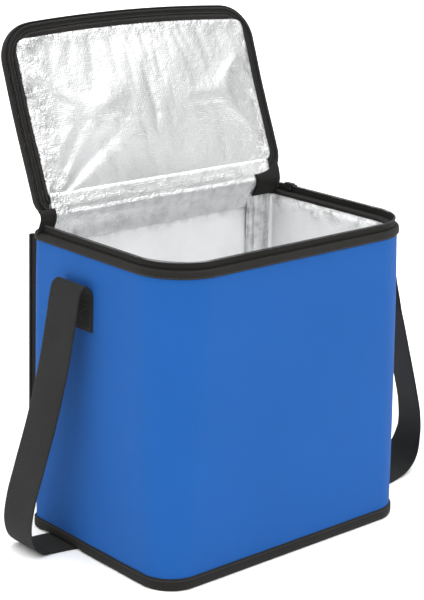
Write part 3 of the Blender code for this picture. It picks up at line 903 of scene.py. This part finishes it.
class COOLER_OT_lid(BuildOperator, bpy.types.Operator):
    """Lid cover, bound edge, zip tape, coil and the tape round the foil"""

    bl_idname = "cooler.lid"
    bl_label = "Lid"

    def execute(self, context):
        mats, sizes = finishes(context), context.scene.cooler_sizes
        self.make_cover(mats, sizes)

        def wavy(seed, height):
            def shift(station, point, outward, inset, z):
                return point + Vector((0, 0, ripple((point.x, point.y, 0), 12 * MM, seed) * height))
            return shift

        edge = [(0.6, -0.3), (0.1, -0.75), (-0.5, -0.6), (-0.9, 0.2), (-1.1, 1.8), (-1.1, 3.6), (-0.8, 5.4),
                (0.0, 6.6), (1.6, 7.1), (4.2, 6.9), (5.6, 6.4), (5.9, 6.0), (5.4, 5.7), (2.0, 5.8),
                (0.75, 5.2), (0.6, 3.0)]
        bm = lid_ring(edge, 2.5 * MM, closed=True, shift=wavy(2.0, 0.15 * MM))
        finish_piece("lid_edge_tape", bm, mats["binding_tape"], "lid", ["lid_binding"])

        tape = [(0.9, -0.5), (1.2, -0.85), (4.2, -1.0), (7.0, -0.9), (7.5, -0.5), (7.0, -0.1), (1.2, 0.1)]
        bm = lid_ring(tape, 2.5 * MM, shift=wavy(5.0, 0.12 * MM))
        finish_piece("lid_zip_cloth", bm, mats["zip_tape_cloth"], "lid", ["lid_zip_tape"])

        seam = [(7.7, -0.4), (8.0, -1.2), (8.8, -1.75), (10.6, -1.85), (13.0, -1.5), (15.5, -0.9),
                (15.0, -0.1), (8.2, 0.1)]
        bm = lid_ring(seam, 2.5 * MM, shift=wavy(8.0, 0.2 * MM))
        finish_piece("lid_seam_cloth", bm, mats["binding_tape"], "lid",
                     ["lid_seam_tape"])

        stations = LID.stations(2 * MM, False, 0.75)
        z = HINGE.z - 1.75 * MM
        bm = coil_mesh(*LID.line(stations, COIL_INSET, z), sizes.coil_pitch)
        finish_piece("lid_coil", open_lid(bm), mats["coil_nylon"], "lid", ["lid_zip_coil"])
        return {"FINISHED"}

    def make_cover(self, mats, sizes):
        """The outer cloth of the lid, crowned over its foam."""
        half = HALF_WIDTH - 0.9 * MM
        front, rear = FRONT + 0.9 * MM, LID_REAR - 0.9 * MM
        bm = rounded_sheet(half, front, rear, LID_RADIUS, (LID_REAR_LEFT, LID_REAR_RIGHT), 4 * MM)
        low, high = HINGE.z + 4.6 * MM, HINGE.z + 5.3 * MM
        thicken(bm, low, high, lambda x, y: crowned(x, y, half, front, rear, 2.2 * MM)
                + 0.5 * MM * ripple((x, y, 0), 50 * MM, 12.0))
        finish_piece("lid_cloth", open_lid(bm), mats["blue_cloth"], "lid",
                     ["lid_cover"])
        inset = 1.8 * MM
        bm = rounded_sheet(half - inset, front + inset, rear - inset, LID_RADIUS - inset,
                           (LID_REAR_LEFT - inset, LID_REAR_RIGHT - inset), 6 * MM)
        thicken(bm, HINGE.z + 0.7 * MM, HINGE.z + 4.4 * MM, lambda x, y: 0.0)
        finish_piece("lid_padding", open_lid(bm), mats["white_foam"], "lid", ["lid_foam"])


def crowned(x, y, half, front, rear, height):
    """A low swell over a panel, nothing at its edges."""
    u = min(1.0, abs(x) / half)
    v = min(1.0, abs(2 * (y - front) / (rear - front) - 1))
    return height * (1 - u ** 4) * (1 - v ** 4)


def rounded_sheet(half, front, rear, front_radius, rear_radii, step):
    """A flat grid at z 0 with its four corners pulled in to round ones."""
    bm = bmesh.new()
    columns, rows = round(2 * half / step), round((rear - front) / step)
    bmesh.ops.create_grid(bm, x_segments=columns, y_segments=rows, size=0.5)
    bmesh.ops.scale(bm, vec=(2 * half, rear - front, 1.0), verts=bm.verts)
    bmesh.ops.translate(bm, vec=(0, (rear + front) / 2, 0), verts=bm.verts)
    for vert in bm.verts:
        at_front = vert.co.y < (front + rear) / 2
        radius = front_radius if at_front else rear_radii[vert.co.x > 0]
        cx = half - radius
        cy = front + radius if at_front else rear - radius
        away = Vector((abs(vert.co.x) - cx, (cy - vert.co.y) if at_front else (vert.co.y - cy)))
        if away.x > 0 and away.y > 0:
            away = away.normalized() * max(away.x, away.y)
            vert.co.x = math.copysign(cx + away.x, vert.co.x)
            vert.co.y = cy - away.y if at_front else cy + away.y
    lay_uv(bm, 1)
    return bm


def thicken(bm, low, high, height):
    """Turns a flat sheet into a slab from low to high, with height(x, y) added to its top."""
    top = list(bm.verts)
    bmesh.ops.translate(bm, vec=(0, 0, low), verts=grow_back(bm))
    for vert in top:
        vert.co.z = high + height(vert.co.x, vert.co.y)


class COOLER_OT_lid_pad(BuildOperator, bpy.types.Operator):
    """Padded foil face of the lid, puffed and creased by a cloth simulation"""

    bl_idname = "cooler.lid_pad"
    bl_label = "Lid padding"

    def execute(self, context):
        mats = finishes(context)
        half = HALF_WIDTH - 11.0 * MM
        front, rear = FRONT + 12.6 * MM, LID_REAR - 13.0 * MM
        bm = rounded_sheet(half, front, rear, 12 * MM, (4 * MM, 13 * MM), 2.6 * MM)
        mesh = bpy.data.meshes.new("foil_pad_sheet")
        edge_z = HINGE.z - 2.1 * MM
        for vert in bm.verts:
            vert.co.z = edge_z - crowned(vert.co.x, vert.co.y, half, front, rear, 2.4 * MM)
        bm.to_mesh(mesh)
        bm.free()
        puff_sheet(context, mesh, pressure=0.6, spare=0.006)
        bm = bmesh.new()
        bm.from_mesh(mesh)
        bpy.data.meshes.remove(mesh)

        def to_edge(co):
            return min(half - abs(co.x), co.y - front, rear - co.y)

        def crinkled(co):
            """Hard crinkles along the sides, most of all on the left, fewer along the front."""
            left = fade(half + co.x, 34 * MM) * (0.55 + 0.6 * max(0.0, ripple((0, co.y, 0), 24 * MM, 5.0)))
            right = 0.6 * fade(half - co.x, 20 * MM)
            return min(1.0, left + right + 0.5 * fade(co.y - front, 16 * MM))

        for vert in bm.verts:
            co = vert.co.copy()
            held = min(1.0, max(0.0, to_edge(co)) / (5 * MM) + 0.12)
            hard = crinkled(co)
            rough = 0.5 + ripple(co, 11 * MM, 71.0) + 0.6 * ripple(co, 5.5 * MM, 73.0)
            lift = 2.2 * MM * hard * max(rough, 0.0) + 0.35 * MM * soft_folds(co, 75.0)
            lift += self.fan(co, half, rear) + self.middle_crease(co, front, rear)
            vert.co.z -= lift * held
        for vert in grow_back(bm):
            vert.co.z = HINGE.z + 0.5 * MM
        pad = finish_piece("lid_foil_pad", open_lid(bm), mats["lid_foil_film"], "lid",
                           ["lid_foil"], subdivide=1)
        shut = OPENED.inverted()
        # The crinkle mask also paints shade: dark patches along the sides, most of all on the left.
        mark_creases_and_shade(pad.data, lambda co: crinkled(shut @ co))
        return {"FINISHED"}

    def fan(self, co, half, rear):
        """Long soft folds that spread from the hinge's left end across the lid."""
        reach = Vector((co.x + half * 1.02, rear + 12 * MM - co.y))
        angle = math.atan2(reach.y, reach.x)
        share = min(reach.length / (150 * MM), 1.0)
        strength = math.sin(math.pi * min(share * 0.9 + 0.08, 1.0)) * fade(abs(angle - 0.72), 0.5)
        return 1.7 * MM * strength * math.sin(angle * 17 + 0.6 * ripple(co, 60 * MM, 90.0))

    def middle_crease(self, co, front, rear):
        """The fold that packing left across the middle of the lid."""
        away = co.y - (front * 0.42 + rear * 0.58) - 2 * MM * ripple((co.x, 0, 0), 90 * MM, 3.0)
        return -0.3 * MM * fade(abs(away), 3.2 * MM)


FILM_CLOTH = {
    "quality": 6, "mass": 0.12, "tension_stiffness": 30, "compression_stiffness": 30, "shear_stiffness": 12,
    "bending_stiffness": 0.08, "vertex_group_mass": "held", "use_pressure": True,
}
PUFF_FRAMES, PUFF_REACH = 24, 9 * MM


def puff_sheet(context, mesh, pressure, spare):
    """Lets a held sheet of film, cut a little too big, swell and buckle. Its edge stays where it is."""
    sheet = bpy.data.objects.new("puffing", mesh)
    context.scene.collection.objects.link(sheet)
    bm = bmesh.new()
    bm.from_mesh(mesh)
    held = [vert.index for vert in bm.verts if vert.is_boundary]
    bm.free()
    group = sheet.vertex_groups.new(name="held")
    group.add(held, 1.0, "REPLACE")
    cloth = sheet.modifiers.new("Cloth", "CLOTH")
    settings = cloth.settings
    for name, value in FILM_CLOTH.items():
        setattr(settings, name, value)
    settings.shrink_min = -spare
    settings.uniform_pressure_force = -pressure
    settings.effector_weights.gravity = 0.0
    cloth.collision_settings.use_collision = False
    cloth.point_cache.frame_start, cloth.point_cache.frame_end = 1, PUFF_FRAMES
    for number in range(1, PUFF_FRAMES + 1):
        context.scene.frame_set(number)
    graph = context.evaluated_depsgraph_get()
    posed = sheet.evaluated_get(graph).to_mesh()
    moved = [vert.co.copy() for vert in posed.vertices]
    for vert, co in zip(mesh.vertices, moved):
        step = co - vert.co
        if step.length > PUFF_REACH:
            step *= PUFF_REACH / step.length
        vert.co = vert.co + step
    context.scene.frame_set(1)
    bpy.data.objects.remove(sheet, do_unlink=True)


# ---------------------------------------------------------------- hinge

class COOLER_OT_hinge(BuildOperator, bpy.types.Operator):
    """Foil hinge cloth inside, black cloth outside and the black tabs at both ends"""

    bl_idname = "cooler.hinge"
    bl_label = "Cloth hinge"

    def execute(self, context):
        mats = finishes(context)
        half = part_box("hinge_strip_body")[1][0]
        up = OPENED.to_3x3() @ Vector((0, -1, 0))
        out = OPENED.to_3x3() @ Vector((0, 0, -1))

        def hang(name, bm, finish, replaces=()):
            piece = finish_piece(name, bm, mats[finish], None, replaces)
            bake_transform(piece)
            return piece

        def route(on_bag, on_lid):
            """A section through the cloth: (y, z in mm) on the bag, then mm (up, out) over the hinge."""
            return [Vector((0, y, z * MM)) for y, z in on_bag] + \
                [HINGE + up * rise * MM + out * off * MM for rise, off in on_lid]

        # Inside: from the back wall's foil, over the rim, and up on to the lid's foil.
        line = route(((REAR - 8.2 * MM, 255.5), (REAR - 9.0 * MM, 258), (REAR - 9.6 * MM, 265),
                      (REAR - 11.4 * MM, 269.2), (HINGE.y + 0.6 * MM, 272), (HINGE.y - 1.6 * MM, 276)),
                     ((0.5, 2.9), (4.6, 2.6), (8, 3.2), (13, 3.3), (17.5, 3.4), (19.5, 2.4)))
        inner = self.cloth(line, -129.3 * MM, 122 * MM, 0.5 * MM, 61.0, 0.55 * MM)
        strips = ["hinge_strip_body", "hinge_strip_lid"]
        foil = hang("hinge_foil", inner, "hinge_foil_film", strips)
        # Crease bump and painted crease shade, stronger towards the ends.
        mark_creases_and_shade(foil.data, lambda co: 0.25 + 0.6 * fade(half - abs(co.x), 18 * MM))

        # Outside: from the back of the rim up to the lid's bound edge.
        line = route(((REAR + 0.6 * MM, 266), (REAR - 1.0 * MM, 269.2), (HINGE.y + 6.0 * MM, 272),
                      (HINGE.y + 2.6 * MM, 276)), ((0, -1.2), (2.6, -2.6), (5.0, -4.0)))
        outer = self.cloth(line, -128.5 * MM, 128.5 * MM, 0.7 * MM, 84.0, 0.3 * MM)
        hang("hinge_back_cloth", outer, "black_cloth")

        # The ends: folded black cloth from the rim's corners to the lid's frame.
        line = route(((HINGE.y + 3.0 * MM, 266), (HINGE.y + 0.6 * MM, 269), (HINGE.y - 1.2 * MM, 273),
                      (HINGE.y - 2.8 * MM, 277)), ((1.0, 4.2), (4.0, 4.1), (6.5, 2.2)))
        for node, first, last, climb in (("hinge_tab_left", -143.5, -127.0, 1.0),
                                         ("hinge_tab_right", 103.5, 133.0, 9.0)):
            tab = self.cloth(line, first * MM, last * MM, 0.9 * MM, 90.0 + climb, 0.25 * MM)
            for vert in tab.verts:
                share = (vert.co.x / MM - first) / (last - first)
                above = max(0.0, vert.co.z - HINGE.z) / (6 * MM)
                vert.co += up * climb * MM * share ** 2 * above
            hang(f"{node}_cloth", tab, "zip_tape_cloth", [node])
        return {"FINISHED"}

    def cloth(self, line, first, last, thick, seed, fold):
        """A strip of cloth whose section is the line, from first to last along X, with small folds."""
        curve = smooth_route(line, 6)
        normals = [Vector((0, along.z, -along.y)) for along in directions(curve)]
        run = distances(curve)
        rows = []
        for x in levels(first, last, 2.4 * MM):
            face, back = [], []
            for point, normal, s in zip(curve, normals, run):
                slack = 4 * (s / run[-1]) * (1 - s / run[-1])
                folds = ripple((x * 0.22, s, seed), 6.5 * MM, seed) * fold * slack
                folds += ripple((x, s, seed), 22 * MM, seed + 2) * fold * 0.8 * slack
                place = Vector((x, point.y, point.z)) - normal * folds
                face.append(place - normal * thick / 2)
                back.append(place + normal * thick / 2)
            rows.append(face + back[::-1])
        return sweep(rows, False)


# ---------------------------------------------------------------- pocket

class COOLER_OT_pocket(BuildOperator, bpy.types.Operator):
    """Flat rear pocket: panel, pleated gusset and bound mouth"""

    bl_idname = "cooler.pocket"
    bl_label = "Rear pocket"

    def execute(self, context):
        mats = finishes(context)
        low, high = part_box("pocket_panel")
        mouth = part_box("pocket_binding")[1][2]

        def bulge(x, z):
            u, v = abs(x) / high[0], (z - low[2]) / (high[2] - low[2])
            return (1 - u ** 4) * math.sin(math.pi * min(v * 0.8 + 0.1, 1.0)) * 2.2 * MM + \
                ripple((x, 0, z), 55 * MM, 14.0) * 0.9 * MM
        bm = cloth_panel(low[0], high[0], low[2], mouth - 1.5 * MM, high[1], low[1] - high[1], 5 * MM, bulge)
        finish_piece("pocket_cloth", bm, mats["black_cloth"], "bag",
                     ["pocket_panel"])

        back, outer = REAR + 0.3 * MM, low[1] - 0.1 * MM
        half, foot = high[0], low[2]
        corner = 6 * MM
        path = [Vector((-half, 0, mouth))]
        path += [Vector((-half + corner - corner * math.cos(a), 0, foot + corner - corner * math.sin(a)))
                 for a in (math.pi / 2 * i / 8 for i in range(9))]
        path += [Vector((-p.x, 0, p.z)) for p in reversed(path)]
        dense = []
        for a, b in zip(path, path[1:]):
            count = max(1, round((b - a).length / (4 * MM)))
            dense += [a.lerp(b, i / count) for i in range(count)]
        dense.append(path[-1])
        rows = []
        inwards = [Vector((-along.z, 0, along.x)) for along in directions(dense)]
        for point, inward in zip(dense, inwards):
            fold = 2.2 * MM + ripple(point, 20 * MM, 6.0) * 0.8 * MM
            line = [(back, 0.0), ((back + outer) / 2, fold), (outer, 0.0)]
            face = [Vector((point.x, y, point.z)) + inward * (d + 0.2 * MM) for y, d in line]
            under = [Vector((point.x, y, point.z)) + inward * (d + 1.0 * MM) for y, d in line]
            rows.append(face + under[::-1])
        finish_piece("pocket_gusset_cloth", sweep(rows, False), mats["black_cloth"], "bag",
                     ["pocket_gusset"])

        low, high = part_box("pocket_binding")
        rows = []
        for x in levels(low[0], high[0], 4 * MM):
            y = (low[1] + high[1]) / 2 + bulge(x, mouth) * 0.6
            sag = -1.2 * MM * (1 - (x / high[0]) ** 2)
            rows.append([Vector((x, y + dy * MM, (low[2] + high[2]) / 2 + dz * MM + sag)) for dy, dz in
                         ((-1.1, -2.9), (-1.35, 0.0), (-1.0, 2.3), (-0.2, 3.0), (0.6, 2.9), (1.3, 2.1),
                          (1.55, 0.0), (1.3, -2.9))])
        finish_piece("pocket_mouth_tape", sweep(rows, False), mats["binding_tape"], "bag",
                     ["pocket_binding"])

        # Binding covers the seam where the gusset meets the panel.
        rows = []
        for point, inward in zip(dense, inwards):
            rows.append([Vector((point.x, outer + 0.6 * MM + dy * MM, point.z)) + inward * (di * MM)
                         for dy, di in ((-1.4, -0.6), (0.0, -0.9), (1.3, -0.6), (1.9, 0.6), (1.9, 3.6),
                                        (1.3, 4.2), (0.2, 4.2), (0.2, 0.3), (-1.4, 0.2))])
        finish_piece("pocket_edge_tape", sweep(rows, False), mats["binding_tape"], "bag")
        return {"FINISHED"}


# ---------------------------------------------------------------- strap

# Each drop of the strap, as mm (out from the sewn side, y, z), in order from the left sewn end.
LEFT_DROP = (
    (0, 24, 199), (0, 24, 212), (0, 24, 224), (2, 24, 234), (7.2, 24, 239), (12.5, 24, 235.8), (15, 24, 227),
    (17.8, 24.7, 208), (23.2, 27, 170), (32, 31.2, 123), (41.2, 36.8, 80), (46.4, 41.5, 50), (46.6, 45, 27),
    (40.5, 47.4, 11), (31, 48.7, 2.8), (20.5, 48.9, 0.85))
RIGHT_DROP = (
    (28, -23, 0.85), (51, -19, 1.3), (68, -16.5, 4.2), (82.6, -15.2, 14), (91, -14.8, 33), (88.7, -15.8, 57),
    (78.2, -18, 87), (60.3, -22, 129), (39.2, -28, 173), (21.2, -32, 205), (13.7, -33, 223),
    (10.6, -33, 234.5), (6, -33, 238.2), (1.6, -33, 233.5), (0, -33, 224), (0, -33, 212), (0, -33, 199))
STRAP_LEFT_Y, STRAP_RIGHT_Y = LEFT_DROP[0][1] * MM, RIGHT_DROP[-1][1] * MM
STRAP_ROUTE = [
    *((-SEWN_X - out * MM, y * MM, z * MM) for out, y, z in LEFT_DROP),
    *((-UNDER_X + 2 * UNDER_X * share, UNDER_LEFT_Y + (UNDER_RIGHT_Y - UNDER_LEFT_Y) * share, FLAT_Z)
      for share in (0.0, 0.08, 0.36, 0.64, 0.92, 1.0)),
    *((SEWN_X + out * MM, y * MM, z * MM) for out, y, z in RIGHT_DROP),
]


class COOLER_OT_strap(BuildOperator, bpy.types.Operator):
    """Shoulder strap: one length of webbing sewn to both sides"""

    bl_idname = "cooler.strap"
    bl_label = "Shoulder strap"

    def execute(self, context):
        mats = finishes(context)
        path = smooth_route(STRAP_ROUTE, 10)
        under = ((-1.0, -0.18), (-0.97, -0.42), (-0.86, -0.5), (-0.5, -0.5), (0.0, -0.5), (0.5, -0.5),
                 (0.86, -0.5), (0.97, -0.42), (1.0, -0.18))
        section = under + tuple((-u, -v) for u, v in under)
        rows = []
        for point, along in zip(path, directions(path)):
            across = (Vector((0, 1, 0)) - along * along.y).normalized()
            out = along.cross(across).normalized()
            free = min(1.0, max(0.0, (point.z - 0.004) / 0.03)) * min(1.0, max(0.0, (0.215 - point.z) / 0.04))
            cup = ripple(point, 70 * MM, 3.0) * 0.9 * MM * free
            lean = 6 * MM * free if point.x > 0 else 0.0
            row = []
            for u, v in section:
                place = point + across * (u * STRAP_WIDTH / 2) + out * (v * STRAP_THICK + cup * (1 - u * u))
                place.x += lean * u * (1 if across.y > 0 else -1)
                place.z = max(place.z, 0.02 * MM)
                row.append(place)
            rows.append(row)
        finish_piece("strap_cloth", sweep(rows, False), mats["strap_webbing"], "bag",
                     ["shoulder_strap"])
        return {"FINISHED"}


# ---------------------------------------------------------------- slider and pull

class COOLER_OT_slider(BuildOperator, bpy.types.Operator):
    """Zip slider and its pull"""

    bl_idname = "cooler.slider"
    bl_label = "Zip slider"

    def execute(self, context):
        mats = finishes(context)
        dress_node("zip_slider", mats["zip_enamel"])
        dress_node("zip_pull", mats["zip_enamel"])
        return {"FINISHED"}


# ---------------------------------------------------------------- stitches

def stitch_row(points, outs, length):
    """Paths of short threads end to end along a line, each bowed a little outwards."""
    run = distances(points)

    def place(s, lift):
        at = min(bisect.bisect_right(run, s), len(run) - 1) - 1
        share = (s - run[at]) / (run[at + 1] - run[at])
        return points[at].lerp(points[at + 1], share) + outs[at] * lift

    stitches = []
    for n in range(int(run[-1] / length)):
        s = n * length
        stitches.append([place(s + length * share, lift * MM) for share, lift in
                         ((0.06, -0.15), (0.2, 0.0), (0.7, 0.0), (0.84, -0.15))])
    return stitches


class COOLER_OT_stitches(BuildOperator, bpy.types.Operator):
    """Rows of thread on the bound edges and the strap's sewn ends"""

    bl_idname = "cooler.stitches"
    bl_label = "Stitching"

    def execute(self, context):
        mats, length = finishes(context), context.scene.cooler_sizes.stitch
        thread = mats["black_thread"]
        stations = BODY.stations(3 * MM)
        for name, z in (("rim_stitches", 262.6 * MM), ("foot_stitches", 9.0 * MM)):
            line, outs = BODY.line(stations, -1.75 * MM, z)
            line = [point + Vector((0, 0, strap_lift(point, z))) for point in line]
            bm = wire_mesh(stitch_row(line, outs, length), 0.26 * MM, 0.5)
            finish_piece(name, bm, thread, "bag")

        paths = []
        stations = LID.stations(3 * MM, False, 0.75)
        down = [Vector((0, 0, -1))] * len(stations)
        for inset, up in ((6.3, -1.02), (9.3, -1.9)):
            z = HINGE.z + up * MM
            paths += stitch_row(LID.line(stations, inset * MM, z)[0], down, length)
        stations = LID.stations(3 * MM)
        line, _ = LID.line(stations, 4.4 * MM, HINGE.z + 6.95 * MM)
        paths += stitch_row(line, [Vector((0, 0, 1))] * len(stations), length)
        finish_piece("lid_stitches", open_lid(wire_mesh(paths, 0.24 * MM, 0.5)), thread, "lid")

        paths = []
        for side in (-1, 1):
            x = side * (SEWN_X + STRAP_THICK / 2 + 0.05 * MM)
            half, low, high = STRAP_WIDTH / 2 - 3 * MM, 0.2015, 0.2215
            y = STRAP_RIGHT_Y if side > 0 else STRAP_LEFT_Y
            a, b = Vector((x, y - half, low)), Vector((x, y + half, low))
            c, d = Vector((x, y + half, high)), Vector((x, y - half, high))
            for start, end in ((a, b), (b, c), (c, d), (d, a), (a, c), (b, d)):
                paths += stitch_row([start, end], [Vector((side, 0, 0))] * 2, length)
        finish_piece("strap_stitches", wire_mesh(paths, 0.28 * MM, 0.5), thread, "bag")
        return {"FINISHED"}


# ---------------------------------------------------------------- stage

CAMERA_PLACE = Vector((-0.9789, -1.0562, 0.6327))
CAMERA_TOWARDS = Vector((0.6235, 0.7359, -0.2640))
CAMERA_ROLL = math.radians(1.10)
FOCAL_HEIGHTS = 2.896
SHIFT = (0.1, -0.0687)

# Softboxes as suns: name, strength, angle across in degrees, and where each one is
SUNS = (("overhead_softbox", 1.3, 75, (-0.1, -0.3, 1.0)), ("left_softbox", 0.5, 60, (-1.0, -0.35, 0.6)))

# How bright the studio is from below to straight above, and where its window is
SKY_GREYS = ((0.0, 0.50), (0.16, 0.46), (0.42, 0.88), (0.75, 1.6), (1.0, 3.0))
WINDOW_TOWARDS = Vector((0.30, -0.80, 0.52))


class COOLER_OT_stage(BuildOperator, bpy.types.Operator):
    """Pale floor, soft studio light and the camera"""

    bl_idname = "cooler.stage"
    bl_label = "Stage"

    def execute(self, context):
        self.make_floor(context)
        self.make_light(context)
        self.make_camera(context)
        context.scene.view_settings.view_transform = "Standard"
        return {"FINISHED"}

    def make_floor(self, context):
        nodes = material("studio_floor")
        mottle = nodes.noise(nodes.place("Object"), 1.5, 2.0)
        nodes.set(Base_Color=nodes.ramp(mottle, 0.3, 0.7, (0.9, 0.9, 0.9), (0.93, 0.93, 0.93)), Roughness=0.9)
        bm = bmesh.new()
        bmesh.ops.create_grid(bm, x_segments=1, y_segments=1, size=14.0)
        mesh = bpy.data.meshes.new("floor")
        bm.to_mesh(mesh)
        bm.free()
        mesh.materials.append(nodes.owner)
        floor = bpy.data.objects.new("floor", mesh)
        context.scene.collection.objects.link(floor)

    def make_light(self, context):
        for name, strength, angle, place in SUNS:
            data = bpy.data.lights.new(name, "SUN")
            data.energy, data.angle = strength, math.radians(angle)
            lamp = bpy.data.objects.new(name, data)
            lamp.rotation_euler = (-Vector(place)).to_track_quat("-Z", "Y").to_euler()
            context.scene.collection.objects.link(lamp)

        nodes = Nodes(bpy.data.worlds.new("studio"), "Background")
        place = nodes.place("Generated")
        split = nodes.add("ShaderNodeSeparateXYZ")
        nodes.feed(split, 0, place)
        sky = nodes.add("ShaderNodeValToRGB")
        for position, grey in SKY_GREYS[1:-1]:
            sky.color_ramp.elements.new(position)
        for stop, (position, grey) in zip(sky.color_ramp.elements, SKY_GREYS):
            stop.position, stop.color = position, (grey, grey, grey, 1)
        nodes.feed(sky, 0, split.outputs["Z"])
        facing = nodes.add("ShaderNodeVectorMath", operation="DOT_PRODUCT")
        nodes.feed(facing, 0, place)
        nodes.feed(facing, 1, WINDOW_TOWARDS.normalized())
        window = nodes.add("ShaderNodeMapRange", interpolation_type="SMOOTHSTEP")
        for socket, value in (("Value", facing.outputs["Value"]), ("From Min", 0.76), ("From Max", 0.97),
                              ("To Min", 0.0), ("To Max", 0.2)):
            nodes.feed(window, socket, value)
        total = nodes.add("ShaderNodeVectorMath", operation="ADD")
        nodes.feed(total, 0, sky.outputs[0])
        nodes.feed(total, 1, window.outputs[0])
        context.scene.world = nodes.set(Color=total.outputs[0], Strength=1.0)

    def make_camera(self, context):
        data = bpy.data.cameras.new("camera")
        data.sensor_fit = "AUTO"
        data.lens = FOCAL_HEIGHTS * data.sensor_width
        data.shift_x, data.shift_y = SHIFT
        data.clip_start, data.clip_end = 0.05, 60
        camera = bpy.data.objects.new("camera", data)
        camera.location = CAMERA_PLACE
        aimed = CAMERA_TOWARDS.to_track_quat("-Z", "Y").to_matrix()
        camera.rotation_euler = (aimed @ Matrix.Rotation(CAMERA_ROLL, 3, "Z")).to_euler()
        context.scene.collection.objects.link(camera)
        context.scene.camera = camera


class COOLER_PT_panel(bpy.types.Panel):
    """Lists the steps that build the bag"""

    bl_idname = "COOLER_PT_panel"
    bl_label = "Cooler bag"
    bl_space_type = "VIEW_3D"
    bl_region_type = "UI"
    bl_category = "Cooler bag"

    def draw(self, context):
        for group in (context.scene.cooler_colours, context.scene.cooler_sizes):
            box = self.layout.box()
            for field in type(group).__annotations__:
                box.prop(group, field)
        for step in STEPS:
            self.layout.operator(step.bl_idname)


STEPS = (COOLER_OT_stage, COOLER_OT_wrap, COOLER_OT_base, COOLER_OT_rim, COOLER_OT_liner,
         COOLER_OT_lid, COOLER_OT_lid_pad, COOLER_OT_hinge, COOLER_OT_pocket, COOLER_OT_strap,
         COOLER_OT_slider, COOLER_OT_stitches)
CLASSES = (CoolerColours, CoolerSizes, *STEPS, COOLER_PT_panel)


def register():
    for cls in CLASSES:
        bpy.utils.register_class(cls)
    bpy.types.Scene.cooler_colours = PointerProperty(type=CoolerColours)
    bpy.types.Scene.cooler_sizes = PointerProperty(type=CoolerSizes)


def unregister():
    del bpy.types.Scene.cooler_colours
    del bpy.types.Scene.cooler_sizes
    for cls in reversed(CLASSES):
        bpy.utils.unregister_class(cls)


def main():
    register()
    for step in STEPS:
        group, name = step.bl_idname.split(".")
        getattr(getattr(bpy.ops, group), name)()


if __name__ == "__main__":
    main()
